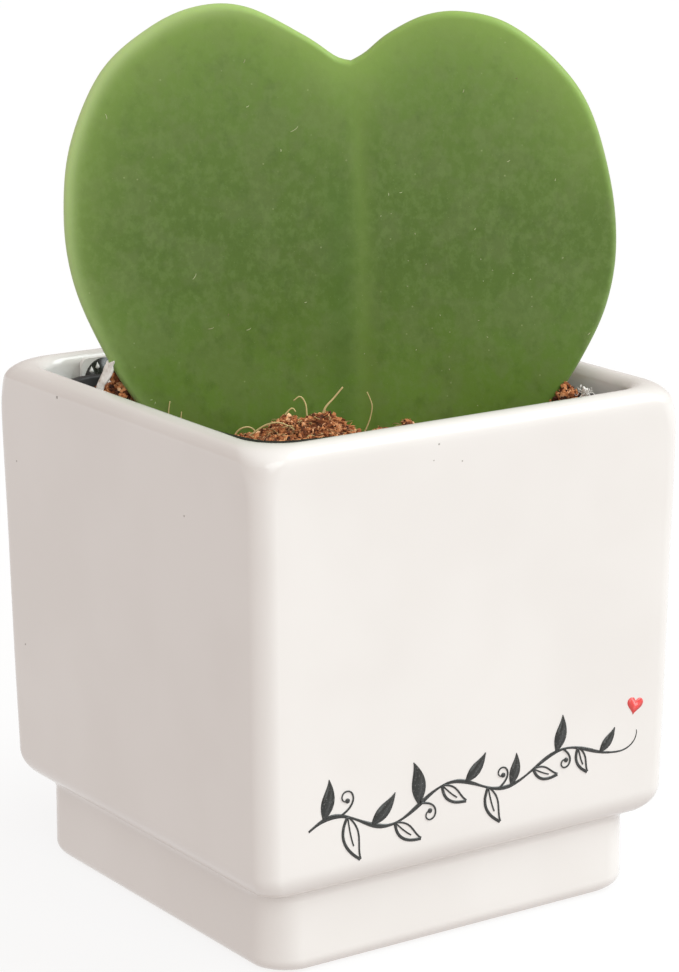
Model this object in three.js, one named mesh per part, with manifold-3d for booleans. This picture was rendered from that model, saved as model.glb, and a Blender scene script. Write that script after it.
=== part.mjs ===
// A single sweetheart hoya leaf rooted in coir. The coir fills a black nursery pot,
// which stands a little tilted in a white ceramic cube pot on a stepped-in foot.
// Millimetres, +Z up. The origin is the middle of the foot, on the surface it stands on.
// The decorated face of the ceramic pot looks along -Y, and the leaf faces the corner at -X -Y.
import * as THREE from 'three';
import { mergeVertices } from 'three/addons/utils/BufferGeometryUtils.js';
import Module from 'manifold-3d';

const wasm = await Module();
wasm.setup();

// Ceramic pot
const potHeight = 73.6;
const potHalf = 35;
const potTaper = 0.95;
const potCorner = 2.9;
const rimCorner = 6.2;
const rimCornerStart = 66;
const wallThickness = 3.9;
const lipRadius = 2.4;
const footInset = 3.2;
const footCorner = 5.1;
const bodyBottom = 11.4;
const bodyEdgeRadius = 4.4;
const footFilletRadius = 1.8;
const footEdgeRadius = 2.3;
const footRingWidth = 4.5;
const footRingHeight = 1.2;
const cavityFloor = 6;
const cavityFloorHalf = 26;
const cavityShoulder = 17.4;
const cavityStepRadius = 6.2;
const cavityCorner = 3.5;
const cavityFillet = 3;

// Nursery pot, in its own frame with its floor level
const nurseryHeight = 63.8;
const nurseryRimHalf = 28.6;
const nurseryTopHalf = 27.9;
const nurseryBaseHalf = 24;
const nurseryCorner = 5.5;
const nurseryWall = 0.9;
const nurseryRimDrop = 3.2;
const nurseryFloor = 2.4;
const nurseryFootRing = 3.5;
const drainRadius = 3;
const drainReach = 13;

// How the nursery pot stands in the ceramic one: its front corner rides up on the cavity's edge
const plugPlace = new THREE.Vector3(-1.5, -1.5, 7.3);
const plugTilt = 1.8;

// Paper sleeve and coir, in the nursery pot's frame
const clearance = 0.3;
const sleeveThickness = 0.5;
const sleeveCorner = 10;
const sleeveTop = 63.7;
const sleeveRagged = 0.7;
const sleeveFrontDrop = 4;
const soilBack = 63;
const soilFront = 56.8;
const soilFrontRise = 0.18;
const soilBlend = 3;
const soilRelief = 1;
const mounds = [
  { x: -9.9, y: -13, height: 4.5, spread: 3 },
  { x: -14.6, y: -8.6, height: 2.9, spread: 2.6 },
  { x: 23.5, y: -19.8, height: 5.5, spread: 3 },
  { x: -20.5, y: 16.3, height: 1.4, spread: 2.8 },
  { x: 12, y: 14, height: 0.9, spread: 7 },
];
const crumbCount = 70;
const crumbSmallest = 0.7;
const crumbSpread = 1;
const fibreCount = 26;
const fibreWidth = 0.5;
const fibreRun = 2.5;
const fibreRise = 1;
const fibreRoot = 1.5;
const bitsInset = 2.6;
const fibresInset = 8.6;

// Leaf, in a plane whose first coordinate runs to the right of the leaf's face and second is height
const leafYaw = -34.4;
const leafForward = 1;
const leafMiddle = new THREE.Vector2(1.5, 88);
const leafNotch = new THREE.Vector2(2.7, 117.2);
const leafBase = new THREE.Vector2(2.7, 46.5);
const leafThickness = 3.2;
const leafColumns = 32;
const stalkRadius = 1.9;
const stalkFoot = 33;
const stalkTop = 52;

// Plant label
const labelWidth = 22;
const labelHeight = 52.5;
const labelThickness = 0.7;
const labelLeft = -23;
const labelTop = 72.9;
const labelCorner = 1;
const labelPoint = 9;

const outerArcSteps = 5;
const arcPieces = 4;

// The unit direction that the leaf's face looks in
const facing = new THREE.Vector2(0, -1).rotateAround(new THREE.Vector2(), THREE.MathUtils.degToRad(leafYaw));

// How far a place lies in front of the leaf's middle plane
function ahead(x, y) {
  return x * facing.x + y * facing.y - leafForward;
}

function seededDraw(seed) {
  let state = seed;
  return () => {
    state = (state + 0x6d2b79f5) | 0;
    let mixed = Math.imul(state ^ (state >>> 15), 1 | state);
    mixed = (mixed + Math.imul(mixed ^ (mixed >>> 7), 61 | mixed)) ^ mixed;
    return ((mixed ^ (mixed >>> 14)) >>> 0) / 4294967296;
  };
}

// Closed geometry to a solid that can be joined and cut
function toSolid(geometry) {
  const bare = geometry.clone();
  bare.deleteAttribute('normal');
  bare.deleteAttribute('uv');
  const merged = mergeVertices(bare, 1e-4);
  const corners = merged.index.array;
  const kept = [];
  for (let i = 0; i < corners.length; i += 3) {
    const [a, b, c] = corners.slice(i, i + 3);
    if (a !== b && b !== c && c !== a) {
      kept.push(a, b, c);
    }
  }
  const vertProperties = Float32Array.from(merged.attributes.position.array);
  const triVerts = Uint32Array.from(kept);
  return new wasm.Manifold(new wasm.Mesh({ numProp: 3, vertProperties, triVerts }));
}

// The largest body of a solid, without loose scraps or sealed hollows
function largestBody(solid) {
  const bodies = solid.decompose();
  return bodies.reduce((best, body) => (body.volume() > best.volume() ? body : best));
}

function toMesh(name, solid, look) {
  const { vertProperties, triVerts } = solid.getMesh();
  const geometry = new THREE.BufferGeometry();
  geometry.setAttribute('position', new THREE.BufferAttribute(Float32Array.from(vertProperties), 3));
  geometry.setIndex(new THREE.BufferAttribute(Uint32Array.from(triVerts), 1));
  geometry.computeVertexNormals();
  const mesh = new THREE.Mesh(geometry, new THREE.MeshStandardMaterial(look));
  mesh.name = name;
  return mesh;
}

// Where a column meets a rounded square, counted counter-clockwise from the +X side
function squareSpot(half, corner, column, arcSteps, sideSteps) {
  const perQuarter = arcSteps + sideSteps;
  const step = column % perQuarter;
  const radius = Math.min(corner, half);
  const inset = half - radius;
  const spot = new THREE.Vector2();
  if (step <= arcSteps) {
    const angle = (step / arcSteps) * (Math.PI / 2);
    spot.set(inset + radius * Math.cos(angle), inset + radius * Math.sin(angle));
  } else {
    const along = (step - arcSteps) / sideSteps;
    spot.set(inset * (1 - 2 * along), half);
  }
  const quarter = Math.floor(column / perQuarter);
  return spot.rotateAround(new THREE.Vector2(), quarter * (Math.PI / 2));
}

// A solid of rounded-square section. Each profile point has a half width, a height and a corner radius,
// and lift(x, y, row, column) may raise a point.
function squareTurned(profile, arcSteps, sideSteps, lift = () => 0) {
  const columns = 4 * (arcSteps + sideSteps);
  const outline = profile.map((point) => new THREE.Vector2(point.half, point.height));
  const geometry = new THREE.LatheGeometry(outline, columns);
  const places = geometry.attributes.position;
  for (let column = 0; column <= columns; column += 1) {
    profile.forEach((point, row) => {
      const place = column % columns;
      const spot = squareSpot(point.half, point.corner, place, arcSteps, sideSteps);
      const height = point.height + lift(spot.x, spot.y, row, place);
      places.setXYZ(column * profile.length + row, spot.x, spot.y, height);
    });
  }
  return toSolid(geometry);
}

function ring(half, height, corner) {
  return { half, height, corner };
}

// Profile points on an arc about a centre, with the angles in degrees
function arcRings(half, height, radius, from, to, corner) {
  const rings = [];
  for (let i = 0; i <= arcPieces; i += 1) {
    const angle = THREE.MathUtils.degToRad(THREE.MathUtils.lerp(from, to, i / arcPieces));
    rings.push(ring(half + radius * Math.cos(angle), height + radius * Math.sin(angle), corner));
  }
  return rings;
}

// The S-shaped step from a narrow lower side to a wide upper side, from the bottom up
function stepRings(lowerHalf, upperHalf, lowerRadius, upperRadius, upperHeight, lowerCorner, upperCorner) {
  const across = upperHalf - upperRadius - (lowerHalf + lowerRadius);
  const up = Math.sqrt((lowerRadius + upperRadius) ** 2 - across ** 2);
  const lean = THREE.MathUtils.radToDeg(Math.atan2(up, across));
  const lower = arcRings(lowerHalf + lowerRadius, upperHeight - up, lowerRadius, 180, lean, lowerCorner);
  const upper = arcRings(upperHalf - upperRadius, upperHeight, upperRadius, lean - 180, 0, upperCorner);
  return [...lower, ...upper.slice(1)];
}

// The corners of the outer wall grow rounder towards the rim
function outerCorner(height) {
  const share = THREE.MathUtils.clamp((height - rimCornerStart) / (potHeight - rimCornerStart), 0, 1);
  return THREE.MathUtils.lerp(potCorner, rimCorner, share ** 2);
}

// The ceramic pot's outer wall widens from the top of its lower edge to the foot of its lip
const wallFoot = bodyBottom + bodyEdgeRadius;
const wallTop = potHeight - lipRadius;
const wallSlope = potTaper / (wallTop - wallFoot);

function upperWall() {
  const rings = [];
  for (let i = 0; i < arcPieces; i += 1) {
    const height = THREE.MathUtils.lerp(rimCornerStart, wallTop, i / arcPieces);
    rings.push(ring(potHalf - wallSlope * (wallTop - height), height, outerCorner(height)));
  }
  const lip = arcRings(potHalf - lipRadius, wallTop, lipRadius, 0, 90, potCorner);
  return [...rings, ...lip.map((spot) => ring(spot.half, spot.height, outerCorner(spot.height)))];
}

function cavity() {
  const innerHalf = potHalf - wallThickness;
  const innerLip = wallThickness - lipRadius;
  const lowHalf = innerHalf - potTaper;
  const floorEdge = cavityFloorHalf - cavityFillet;
  const filletTop = cavityFloor + cavityFillet;
  const step = [cavityFloorHalf, lowHalf, cavityStepRadius, innerLip, cavityShoulder, cavityCorner, cavityCorner];
  return [
    ...arcRings(innerHalf + innerLip, potHeight - innerLip, innerLip, 90, 180, rimCorner).slice(1),
    ...stepRings(...step).reverse(),
    ...arcRings(floorEdge, filletTop, cavityFillet, 0, -90, cavityCorner),
    ring(0, cavityFloor, cavityCorner),
  ];
}

function ceramicPot() {
  const baseHalf = potHalf - potTaper;
  const footHalf = baseHalf - footInset;
  const ringHalf = footHalf - footRingWidth;
  return squareTurned([
    ring(0, footRingHeight, cavityCorner),
    ring(ringHalf - footRingHeight, footRingHeight, cavityCorner),
    ring(ringHalf, 0, cavityCorner),
    ...arcRings(footHalf - footEdgeRadius, footEdgeRadius, footEdgeRadius, -90, 0, footCorner),
    ...stepRings(footHalf, baseHalf, footFilletRadius, bodyEdgeRadius, wallFoot, footCorner, potCorner),
    ...upperWall(),
    ...cavity(),
  ], outerArcSteps, 1);
}

// Half width of the nursery pot's outer wall at a height
function nurserySide(height) {
  return THREE.MathUtils.lerp(nurseryBaseHalf, nurseryTopHalf, height / nurseryHeight);
}

function nurseryPot() {
  const rimFoot = nurseryHeight - nurseryRimDrop;
  const innerCorner = nurseryCorner - nurseryWall;
  const footInner = nurseryBaseHalf - nurseryFootRing;
  const raised = nurseryFloor - nurseryWall;
  const shell = squareTurned([
    ring(0, raised, nurseryCorner),
    ring(footInner - raised, raised, nurseryCorner),
    ring(footInner, 0, nurseryCorner),
    ring(nurseryBaseHalf - nurseryWall, 0, nurseryCorner),
    ring(nurserySide(nurseryWall), nurseryWall, nurseryCorner),
    ring(nurserySide(rimFoot), rimFoot, nurseryCorner),
    ring(nurseryRimHalf, rimFoot + nurseryWall, nurseryCorner),
    ring(nurseryRimHalf, nurseryHeight - nurseryWall / 2, nurseryCorner),
    ring(nurseryRimHalf - nurseryWall / 2, nurseryHeight, nurseryCorner),
    ring(nurseryTopHalf - nurseryWall / 2, nurseryHeight, innerCorner),
    ring(nurserySide(rimFoot) - nurseryWall, rimFoot, innerCorner),
    ring(nurserySide(nurseryFloor) - nurseryWall, nurseryFloor, innerCorner),
    ring(0, nurseryFloor, innerCorner),
  ], outerArcSteps, 1);
  const drain = new THREE.CylinderGeometry(drainRadius, drainRadius, 4 * nurseryFloor, 12);
  drain.rotateX(Math.PI / 2);
  const drains = [[-1, -1], [1, -1], [1, 1], [-1, 1]].map(([x, y]) => {
    return toSolid(drain.clone().translate(x * drainReach, y * drainReach, 0));
  });
  return drains.reduce((solid, hole) => solid.subtract(hole), shell);
}

function plugSleeve() {
  const draw = seededDraw(11);
  const outer = (height) => nurserySide(height) - nurseryWall - clearance;
  const foot = nurseryFloor + clearance;
  const inner = (height) => outer(height) - sleeveThickness;
  const pieces = 6;
  const tears = Array.from({ length: 8 * pieces }, () => sleeveRagged * (draw() - 0.5));
  const ragged = (x, y, row, column) => {
    const isTop = row === 1 || row === 2;
    const sunk = sleeveFrontDrop * THREE.MathUtils.smoothstep(ahead(x, y), -6, 6);
    return isTop ? tears[column] - sunk : 0;
  };
  return squareTurned([
    ring(outer(foot), foot, sleeveCorner),
    ring(outer(sleeveTop), sleeveTop, sleeveCorner),
    ring(inner(sleeveTop), sleeveTop, sleeveCorner - sleeveThickness),
    ring(inner(foot), foot, sleeveCorner - sleeveThickness),
    ring(outer(foot), foot, sleeveCorner),
  ], pieces, pieces, ragged);
}

// Height of the coir's surface in the nursery pot's frame
function soilLevel(x, y) {
  const frontLevel = soilFront + soilFrontRise * Math.max(ahead(x, y), 0);
  const blend = THREE.MathUtils.smoothstep(ahead(x, y), -soilBlend, soilBlend);
  let level = THREE.MathUtils.lerp(soilBack, frontLevel, blend);
  mounds.forEach((mound) => {
    const away = (x - mound.x) ** 2 + (y - mound.y) ** 2;
    level += mound.height * Math.exp(-away / (2 * mound.spread ** 2));
  });
  const ripple = Math.sin(1.9 * x + 0.7 * y) + Math.sin(2.3 * y - 0.9 * x + 1) + Math.sin(1.1 * x - 1.6 * y);
  return level + (soilRelief / 3) * ripple;
}

// One loose fibre that rises from the coir, bends over and falls back
function fibreSolid(draw, reach) {
  const x = (2 * draw() - 1) * reach;
  const y = (2 * draw() - 1) * reach;
  const turn = draw() * 2 * Math.PI;
  const run = fibreRun * (1 + 1.6 * draw());
  const rise = fibreRise * (1 + 2.2 * draw());
  const ground = soilLevel(x, y);
  const route = new THREE.CatmullRomCurve3([
    new THREE.Vector3(x, y, ground - fibreRoot),
    new THREE.Vector3(x + 0.2 * run * Math.cos(turn), y + 0.2 * run * Math.sin(turn), ground + 0.6 * rise),
    new THREE.Vector3(x + 0.6 * run * Math.cos(turn), y + 0.6 * run * Math.sin(turn), ground + rise),
    new THREE.Vector3(x + run * Math.cos(turn + 0.5), y + run * Math.sin(turn + 0.5), ground + 0.4 * rise),
  ]);
  const section = new THREE.Shape();
  section.absarc(0, 0, fibreWidth / 2, 0, 2 * Math.PI);
  const settings = { curveSegments: 2, steps: 6, bevelEnabled: false, extrudePath: route };
  return toSolid(new THREE.ExtrudeGeometry(section, settings));
}

function crumbSolid(draw, reach) {
  const radius = crumbSmallest + crumbSpread * draw() ** 2;
  const x = (2 * draw() - 1) * reach;
  const y = (2 * draw() - 1) * reach;
  const crumb = new THREE.IcosahedronGeometry(radius, 0);
  crumb.scale(0.8 + 0.5 * draw(), 0.8 + 0.5 * draw(), 0.7 + 0.4 * draw());
  crumb.rotateX(draw() * Math.PI);
  crumb.rotateZ(draw() * Math.PI);
  crumb.translate(x, y, soilLevel(x, y) + 0.3 * radius);
  return toSolid(crumb);
}

// The coir, in the nursery pot's frame, cut by the leaf's slot
function coir(slot) {
  const side = (height) => nurserySide(height) - nurseryWall - 2 * clearance - sleeveThickness;
  const corner = sleeveCorner - sleeveThickness - clearance;
  const foot = nurseryFloor + clearance;
  const topHalf = side(soilBack);
  const steps = 9;
  const profile = [ring(0, foot, corner), ring(side(foot), foot, corner)];
  for (let i = 0; i <= steps; i += 1) {
    profile.push(ring(topHalf * (1 - i / steps), 0, corner));
  }
  const body = squareTurned(profile, 4, 8, (x, y, row) => (row > 1 ? soilLevel(x, y) : 0));
  const draw = seededDraw(5);
  const bits = [];
  for (let i = 0; i < crumbCount; i += 1) {
    bits.push(crumbSolid(draw, topHalf - bitsInset));
  }
  for (let i = 0; i < fibreCount; i += 1) {
    bits.push(fibreSolid(draw, topHalf - fibresInset));
  }
  const joined = bits.reduce((solid, bit) => solid.add(bit), body);
  return largestBody(joined.subtract(slot));
}

// The heart's edge from the notch round the right side to the stalk and back up the left side
function leafEdge() {
  const right = new THREE.SplineCurve([
    leafNotch,
    new THREE.Vector2(7.8, 120.9),
    new THREE.Vector2(12.7, 123.3),
    new THREE.Vector2(18, 123.8),
    new THREE.Vector2(24.2, 122.1),
    new THREE.Vector2(30.8, 117),
    new THREE.Vector2(35.4, 110.5),
    new THREE.Vector2(38.4, 100.5),
    new THREE.Vector2(39.3, 91.4),
    new THREE.Vector2(38.2, 83.7),
    new THREE.Vector2(35.4, 76.9),
    new THREE.Vector2(30.9, 69.5),
    new THREE.Vector2(23.5, 60.5),
    new THREE.Vector2(13, 52),
    leafBase,
  ]);
  const left = new THREE.SplineCurve([
    leafBase,
    new THREE.Vector2(-9, 52.5),
    new THREE.Vector2(-20, 61),
    new THREE.Vector2(-27.9, 70),
    new THREE.Vector2(-32.9, 78.8),
    new THREE.Vector2(-36, 87),
    new THREE.Vector2(-37, 95.7),
    new THREE.Vector2(-35.9, 105.7),
    new THREE.Vector2(-31.5, 115.7),
    new THREE.Vector2(-24.8, 121.7),
    new THREE.Vector2(-18.2, 124.6),
    new THREE.Vector2(-11.5, 124.5),
    new THREE.Vector2(-3.6, 120.6),
    leafNotch,
  ]);
  return [...right.getSpacedPoints(leafColumns).slice(0, -1), ...left.getSpacedPoints(leafColumns)];
}

// From the front's middle over the edge to the back's middle, as shares of the way out
// and of half the thickness
const leafRows = [
  [0, 1],
  [0.35, 0.98],
  [0.65, 0.91],
  [0.84, 0.82],
  [0.94, 0.7],
  [0.985, 0.42],
  [1, 0],
  [0.985, -0.42],
  [0.94, -0.68],
  [0.8, -0.8],
  [0.5, -0.86],
  [0, -0.88],
];

// Blade and stalk in the leaf's own frame, its face along -Y, grown outwards by a margin
function leafSolid(margin) {
  const edge = leafEdge();
  const rows = leafRows.map(([reach, share]) => new THREE.Vector2(reach, share));
  const geometry = new THREE.LatheGeometry(rows, edge.length - 1);
  const places = geometry.attributes.position;
  edge.forEach((edgePoint, column) => {
    const spoke = edgePoint.clone().sub(leafMiddle);
    rows.forEach((row, index) => {
      const growth = row.x * (1 + margin / spoke.length());
      const depth = row.y * (leafThickness / 2 + margin);
      const x = leafMiddle.x + spoke.x * growth;
      const z = leafMiddle.y + spoke.y * growth;
      places.setXYZ(column * rows.length + index, x, -depth, z);
    });
  });
  const foot = new THREE.Vector3(leafBase.x, 0, stalkFoot - margin);
  const bend = new THREE.Vector3(leafBase.x - 1, 0, (stalkFoot + stalkTop) / 2);
  const route = new THREE.CatmullRomCurve3([foot, bend, new THREE.Vector3(leafBase.x, 0, stalkTop)]);
  const section = new THREE.Shape();
  section.absarc(0, 0, stalkRadius + margin, 0, 2 * Math.PI);
  const settings = { curveSegments: 5, steps: 5, bevelEnabled: false, extrudePath: route };
  return toSolid(geometry).add(toSolid(new THREE.ExtrudeGeometry(section, settings)));
}

// A tag with two rounded upper corners and a pointed foot, standing in the X-Z plane
function plantLabel() {
  const outline = new THREE.Shape();
  outline.moveTo(labelWidth / 2, 0);
  outline.lineTo(labelWidth, labelPoint);
  outline.lineTo(labelWidth, labelHeight - labelCorner);
  outline.absarc(labelWidth - labelCorner, labelHeight - labelCorner, labelCorner, 0, Math.PI / 2);
  outline.absarc(labelCorner, labelHeight - labelCorner, labelCorner, Math.PI / 2, Math.PI);
  outline.lineTo(0, labelPoint);
  const settings = { depth: labelThickness, bevelEnabled: false, curveSegments: 5 };
  const geometry = new THREE.ExtrudeGeometry(outline, settings);
  geometry.rotateX(Math.PI / 2);
  geometry.translate(0, 0, -labelHeight);
  return toSolid(geometry);
}

const pottedHoya = new THREE.Group();

const plug = new THREE.Group();
const tiltAxis = new THREE.Vector3(-1, 1, 0).normalize();
plug.position.copy(plugPlace);
plug.quaternion.setFromAxisAngle(tiltAxis, THREE.MathUtils.degToRad(plugTilt));
plug.updateMatrixWorld();

const leafFrame = new THREE.Group();
leafFrame.position.set(facing.x * leafForward, facing.y * leafForward, 0);
leafFrame.rotation.z = THREE.MathUtils.degToRad(leafYaw);
leafFrame.updateMatrixWorld();

const leafInPlug = plug.matrixWorld.clone().invert().multiply(leafFrame.matrixWorld);
const slot = leafSolid(clearance).transform(leafInPlug.elements);
const sleeve = plugSleeve().subtract(slot);

leafFrame.add(toMesh('hoya_leaf', leafSolid(0), { color: 0x6c8a45, roughness: 0.5, metalness: 0 }));
plug.add(toMesh('nursery_pot', nurseryPot(), { color: 0x151515, roughness: 0.6, metalness: 0 }));
plug.add(toMesh('coir', coir(slot), { color: 0x8a4b2c, roughness: 0.95, metalness: 0 }));
plug.add(toMesh('plug_sleeve', sleeve, { color: 0xc9c2b8, roughness: 0.9, metalness: 0 }));

const label = toMesh('plant_label', plantLabel(), { color: 0xf2f0ec, roughness: 0.5, metalness: 0 });
label.rotation.x = -Math.atan(wallSlope);
label.position.set(labelLeft, potHalf - wallThickness - clearance, labelTop);

pottedHoya.add(toMesh('ceramic_pot', ceramicPot(), { color: 0xf1efec, roughness: 0.15, metalness: 0 }));
pottedHoya.add(plug, leafFrame, label);

export default pottedHoya;
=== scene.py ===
from functools import partial
import itertools
import math

import bpy
import numpy as np
from mathutils import Matrix, Vector


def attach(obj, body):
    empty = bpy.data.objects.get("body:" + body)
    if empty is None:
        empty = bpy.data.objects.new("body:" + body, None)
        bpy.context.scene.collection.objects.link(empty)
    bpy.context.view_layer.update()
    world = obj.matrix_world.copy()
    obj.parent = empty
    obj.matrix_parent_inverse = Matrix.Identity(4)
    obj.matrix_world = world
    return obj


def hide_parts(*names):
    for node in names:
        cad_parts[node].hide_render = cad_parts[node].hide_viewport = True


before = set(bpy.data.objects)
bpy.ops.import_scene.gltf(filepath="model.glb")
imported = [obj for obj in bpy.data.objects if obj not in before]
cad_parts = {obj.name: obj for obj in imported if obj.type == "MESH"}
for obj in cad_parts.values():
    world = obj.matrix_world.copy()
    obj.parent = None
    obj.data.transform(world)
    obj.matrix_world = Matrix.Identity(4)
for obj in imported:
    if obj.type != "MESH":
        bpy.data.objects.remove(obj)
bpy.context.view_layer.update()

# The looks of a single sweetheart hoya leaf rooted in coir, in a black nursery pot that stands
# in a white glazed cube pot. Sizes are in millimetres up to the point where a mesh is made.
MM = 0.001

# Ceramic pot
POT_HEIGHT = 73.6
POT_HALF = 35.0
POT_TAPER = 0.95
POT_CORNER = 2.9
RIM_CORNER = 6.2
RIM_CORNER_START = 66.0
WALL = 3.9
LIP_RADIUS = 2.4
FOOT_INSET = 3.2
FOOT_CORNER = 5.1
BODY_BOTTOM = 11.4
BODY_EDGE_RADIUS = 4.4
FOOT_FILLET_RADIUS = 1.8
FOOT_EDGE_RADIUS = 2.3
FOOT_RING_WIDTH = 4.5
FOOT_RING_HEIGHT = 1.2
CAVITY_FLOOR = 6.0
CAVITY_FLOOR_HALF = 26.0
CAVITY_SHOULDER = 17.4
CAVITY_STEP_RADIUS = 6.2
CAVITY_CORNER = 3.5
CAVITY_FILLET = 3.0
POT_MESH_STEP = 2.5

# Columns on each corner's arc and on each side between two corners
POT_COLUMNS = (14, 22)
BED_COLUMNS = (14, 66)
SLEEVE_COLUMNS = (24, 60)
NURSERY_COLUMNS = (12, 14)

# Layers of noise: the height, the cell and the seed of each
GLAZE_WAVES = ((0.05, 16, 3), (0.02, 6, 4))
BED_BUMPS = ((0.45, 3.4, 31), (0.3, 0.85, 33), (0.14, 0.45, 34))
BED_CLODS = ((0.4, 1.7, 32),)
BED_TINTS = ((0.25, 1.1, 35), (0.12, 0.5, 36))
NURSERY_BOW = ((0.12, 14, 21),)
SLEEVE_TEARS = ((0.45, 2.2, 51), (0.3, 0.8, 52))
FLAP_CRUMPLES = ((0.22, 1.3, 55), (0.1, 0.5, 56))
FLAP_TEARS = ((0.35, 0.5, 57),)
FLAP_FRAYS = ((0.22, 0.6, 58),)
LEAF_SWELLS = ((0.16, 11, 61), (0.07, 4, 62))

# Painted sprig and heart, across and up the face along -Y
PRINT_PROUD = 0.04
PRINT_SUNK = 0.08
SPRIG_START = (-27.0, 20.6)
SPRIG_RUN = 50.0
SPRIG_RISE = 3.2
SPRIG_SWING = 1.9
SPRIG_WAVES = 2.6
SPRIG_LEAVES = 13
SPRIG_LEAF_LENGTH = 6.4
SPRIG_LEAF_TURN = math.radians(58)
SPRIG_LINE = 0.26
TENDRIL_SHARES = (0.1, 0.36, 0.62, 0.84)
TENDRIL_LENGTH = 7.5
TENDRIL_TURN = 6.4
BERRY_RADIUS = 0.34
HEART_PLACE = (27.5, 28.8)
HEART_WIDTH = 2.8

# Stray specks in the glaze: 0 for the face along -Y or 1 for -X, then across, up and radius
GLAZE_SPOTS = (
    (0, -6.8, 71.0, 0.13),
    (0, -7.6, 68.9, 0.09),
    (0, -3.0, 68.2, 0.11),
    (0, 22.4, 22.8, 0.12),
    (1, -16.3, 71.4, 0.2),
    (1, -28.8, 59.8, 0.13),
    (1, 16.8, 61.6, 0.13),
    (1, -28.6, 32.6, 0.13),
)

# Nursery pot, in its own frame
NURSERY_HEIGHT = 63.8
NURSERY_RIM_HALF = 28.6
NURSERY_TOP_HALF = 27.9
NURSERY_BASE_HALF = 24.0
NURSERY_CORNER = 5.5
NURSERY_WALL = 0.9
NURSERY_RIM_DROP = 3.2
NURSERY_FLOOR = 2.4
NURSERY_FOOT_RING = 3.5
NURSERY_MESH_STEP = 4

# Where the thin rim stands up or dips: place, rise, and reach
NURSERY_BENDS = (((-23.0, -28.0), 0.32, 6.0), ((-28.2, -12.0), -0.42, 9.0))

DRAIN_RADIUS = 3.0
DRAIN_REACH = 13.0
PLUG_PLACE = (-1.5, -1.5, 7.3)
PLUG_TILT = math.radians(1.8)

# Paper sleeve and coir, in the nursery pot's frame
CLEARANCE = 0.3
SLEEVE_THICKNESS = 0.5
SLEEVE_CORNER = 10.0
SLEEVE_TOP = 63.7
SLEEVE_FRONT_DROP = 4.0
TORN_START = 50.0
SLEEVE_PINCH = 0.004
COIR_CORNER = SLEEVE_CORNER - SLEEVE_THICKNESS - CLEARANCE
BED_RINGS = 78
BED_TINT = 0.34
# How much lighter the bed's tint gets for each millimetre above its even level: painted shade in its dips
# and in the furrow by the leaf, painted light on its bumps
BED_PAINTED_SHADE_RISE = 0.16
SOIL_BACK = 63.0
SOIL_FRONT = 56.8
SOIL_FRONT_RISE = 0.18

# Mounds in the coir: the middle in x and y, the height and the spread
MOUNDS = (
    (-9.9, -13.0, 3.5, 2.7),
    (-14.6, -8.6, 1.6, 2.5),
    (-13.6, -9.6, 1.2, 0.9),
    (-6.6, -21.3, 1.7, 1.1),
    (-1.6, -20.4, 2.3, 1.2),
    (22.5, -19.0, 4.0, 2.8),
    (-20.6, 15.8, 2.6, 2.3),
    (12.0, 14.0, 0.9, 7.0),
)

# The furrow that the leaf stands in, and half the width of the leaf's foot there
FURROW_MIDDLE = 2
FURROW_HALF = 1.9
FURROW_DEPTH = 2.5
FURROW_END = 30
LEAF_FOOT_HALF = 29

CRUMBS = 5000
CRUMB_BASE_TINT = 0.13
CRUMB_TINT_RANGE = 0.76
PALE_CRUMB = 0.3
PALE_CRUMB_SHARE = 0.05
PITH_STRANDS = 3800
FIBRES = 500

# Ranges of a fibre's run, its rise and its radius
LONG_FIBRE = ((4, 9), (0.6, 2.2), (0.05, 0.1))
SHORT_FIBRE = ((0.8, 2.6), (0.1, 0.6), (0.04, 0.09))

# Crumbs heaped on the plug's edge, beside the leaf: middle, spread, height of the foot, rise, number
SPILLS = (
    ((25.5, -20.6), (0.8, 1.3), 62.2, 2.9, 420),
    ((-23.9, 17.4), (0.8, 1.3), 62.6, 4.1, 460),
    ((-26.8, 18.2), (0.2, 0.8), 63.3, 1.1, 90),
)

# Two torn flaps of the sleeve, in the whole object's frame: points up the middle, each with a half width
FLAPS = {
    "sleeve_flap_left": (
        (-28.0, 17.1, 69.8, 0.6),
        (-27.9, 16.6, 72.1, 0.7),
        (-27.3, 16.0, 73.8, 1.0),
        (-26.9, 15.5, 75.7, 0.7),
    ),
    "sleeve_flap_right": (
        (25.9, -23.6, 68.4, 1.2),
        (25.9, -23.9, 70.4, 1.3),
        (25.7, -24.2, 71.6, 0.9),
        (25.5, -24.4, 72.3, 0.4),
    ),
}
FLAP_ROWS = 24
FLAP_COLUMNS = 13
FLAP_THICKNESS = 0.3

# The tuft of torn paper, in the whole object's frame: middle, spread each way, and number of threads
TUFT_PLACE = (25.6, -24.4, 71.7)
TUFT_SPREAD = (0.3, 0.8, 0.4)
TUFT_THREADS = 44

# Leaf, in its own plane: across to the right of its face, and height
LEAF_YAW = math.radians(-34.4)
LEAF_FORWARD = 1.0
LEAF_MIDDLE = (1.5, 88.0)
LEAF_NOTCH = (2.7, 117.2)
LEAF_BASE = (2.7, 46.5)
LEAF_THICKNESS = 3.2
LEAF_EDGE_POINTS = 150

# How much of its outline's size the blade keeps, so that its swells stay inside the CAD box
LEAF_KEPT = 0.999

# As shares of the way to the edge: the part with finer rows, the rounded rim, and where the swells fade
LEAF_OUTER = 0.07
LEAF_RIM = 0.022
LEAF_FADE = 0.15

# How much thinner the blade is by its edge, and how far its back bulges beside its front
LEAF_THINNING = 0.22
LEAF_BACK_SHARE = 0.9

# Where the swells of the leaf's back are read in the noise, away from those of its front
BACK_NOISE_PLACE = 40
RIB_SHIFT = 2.0
RIB_RUN = 15.0
RIB_WIDTH = 1.3
RIB_FRONT_GROOVE = 0.16
RIB_BACK_GROOVE = 0.35
DARK_BAND_SHIFT = 3.4
DARK_BAND_WIDTH = 1.9
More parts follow.
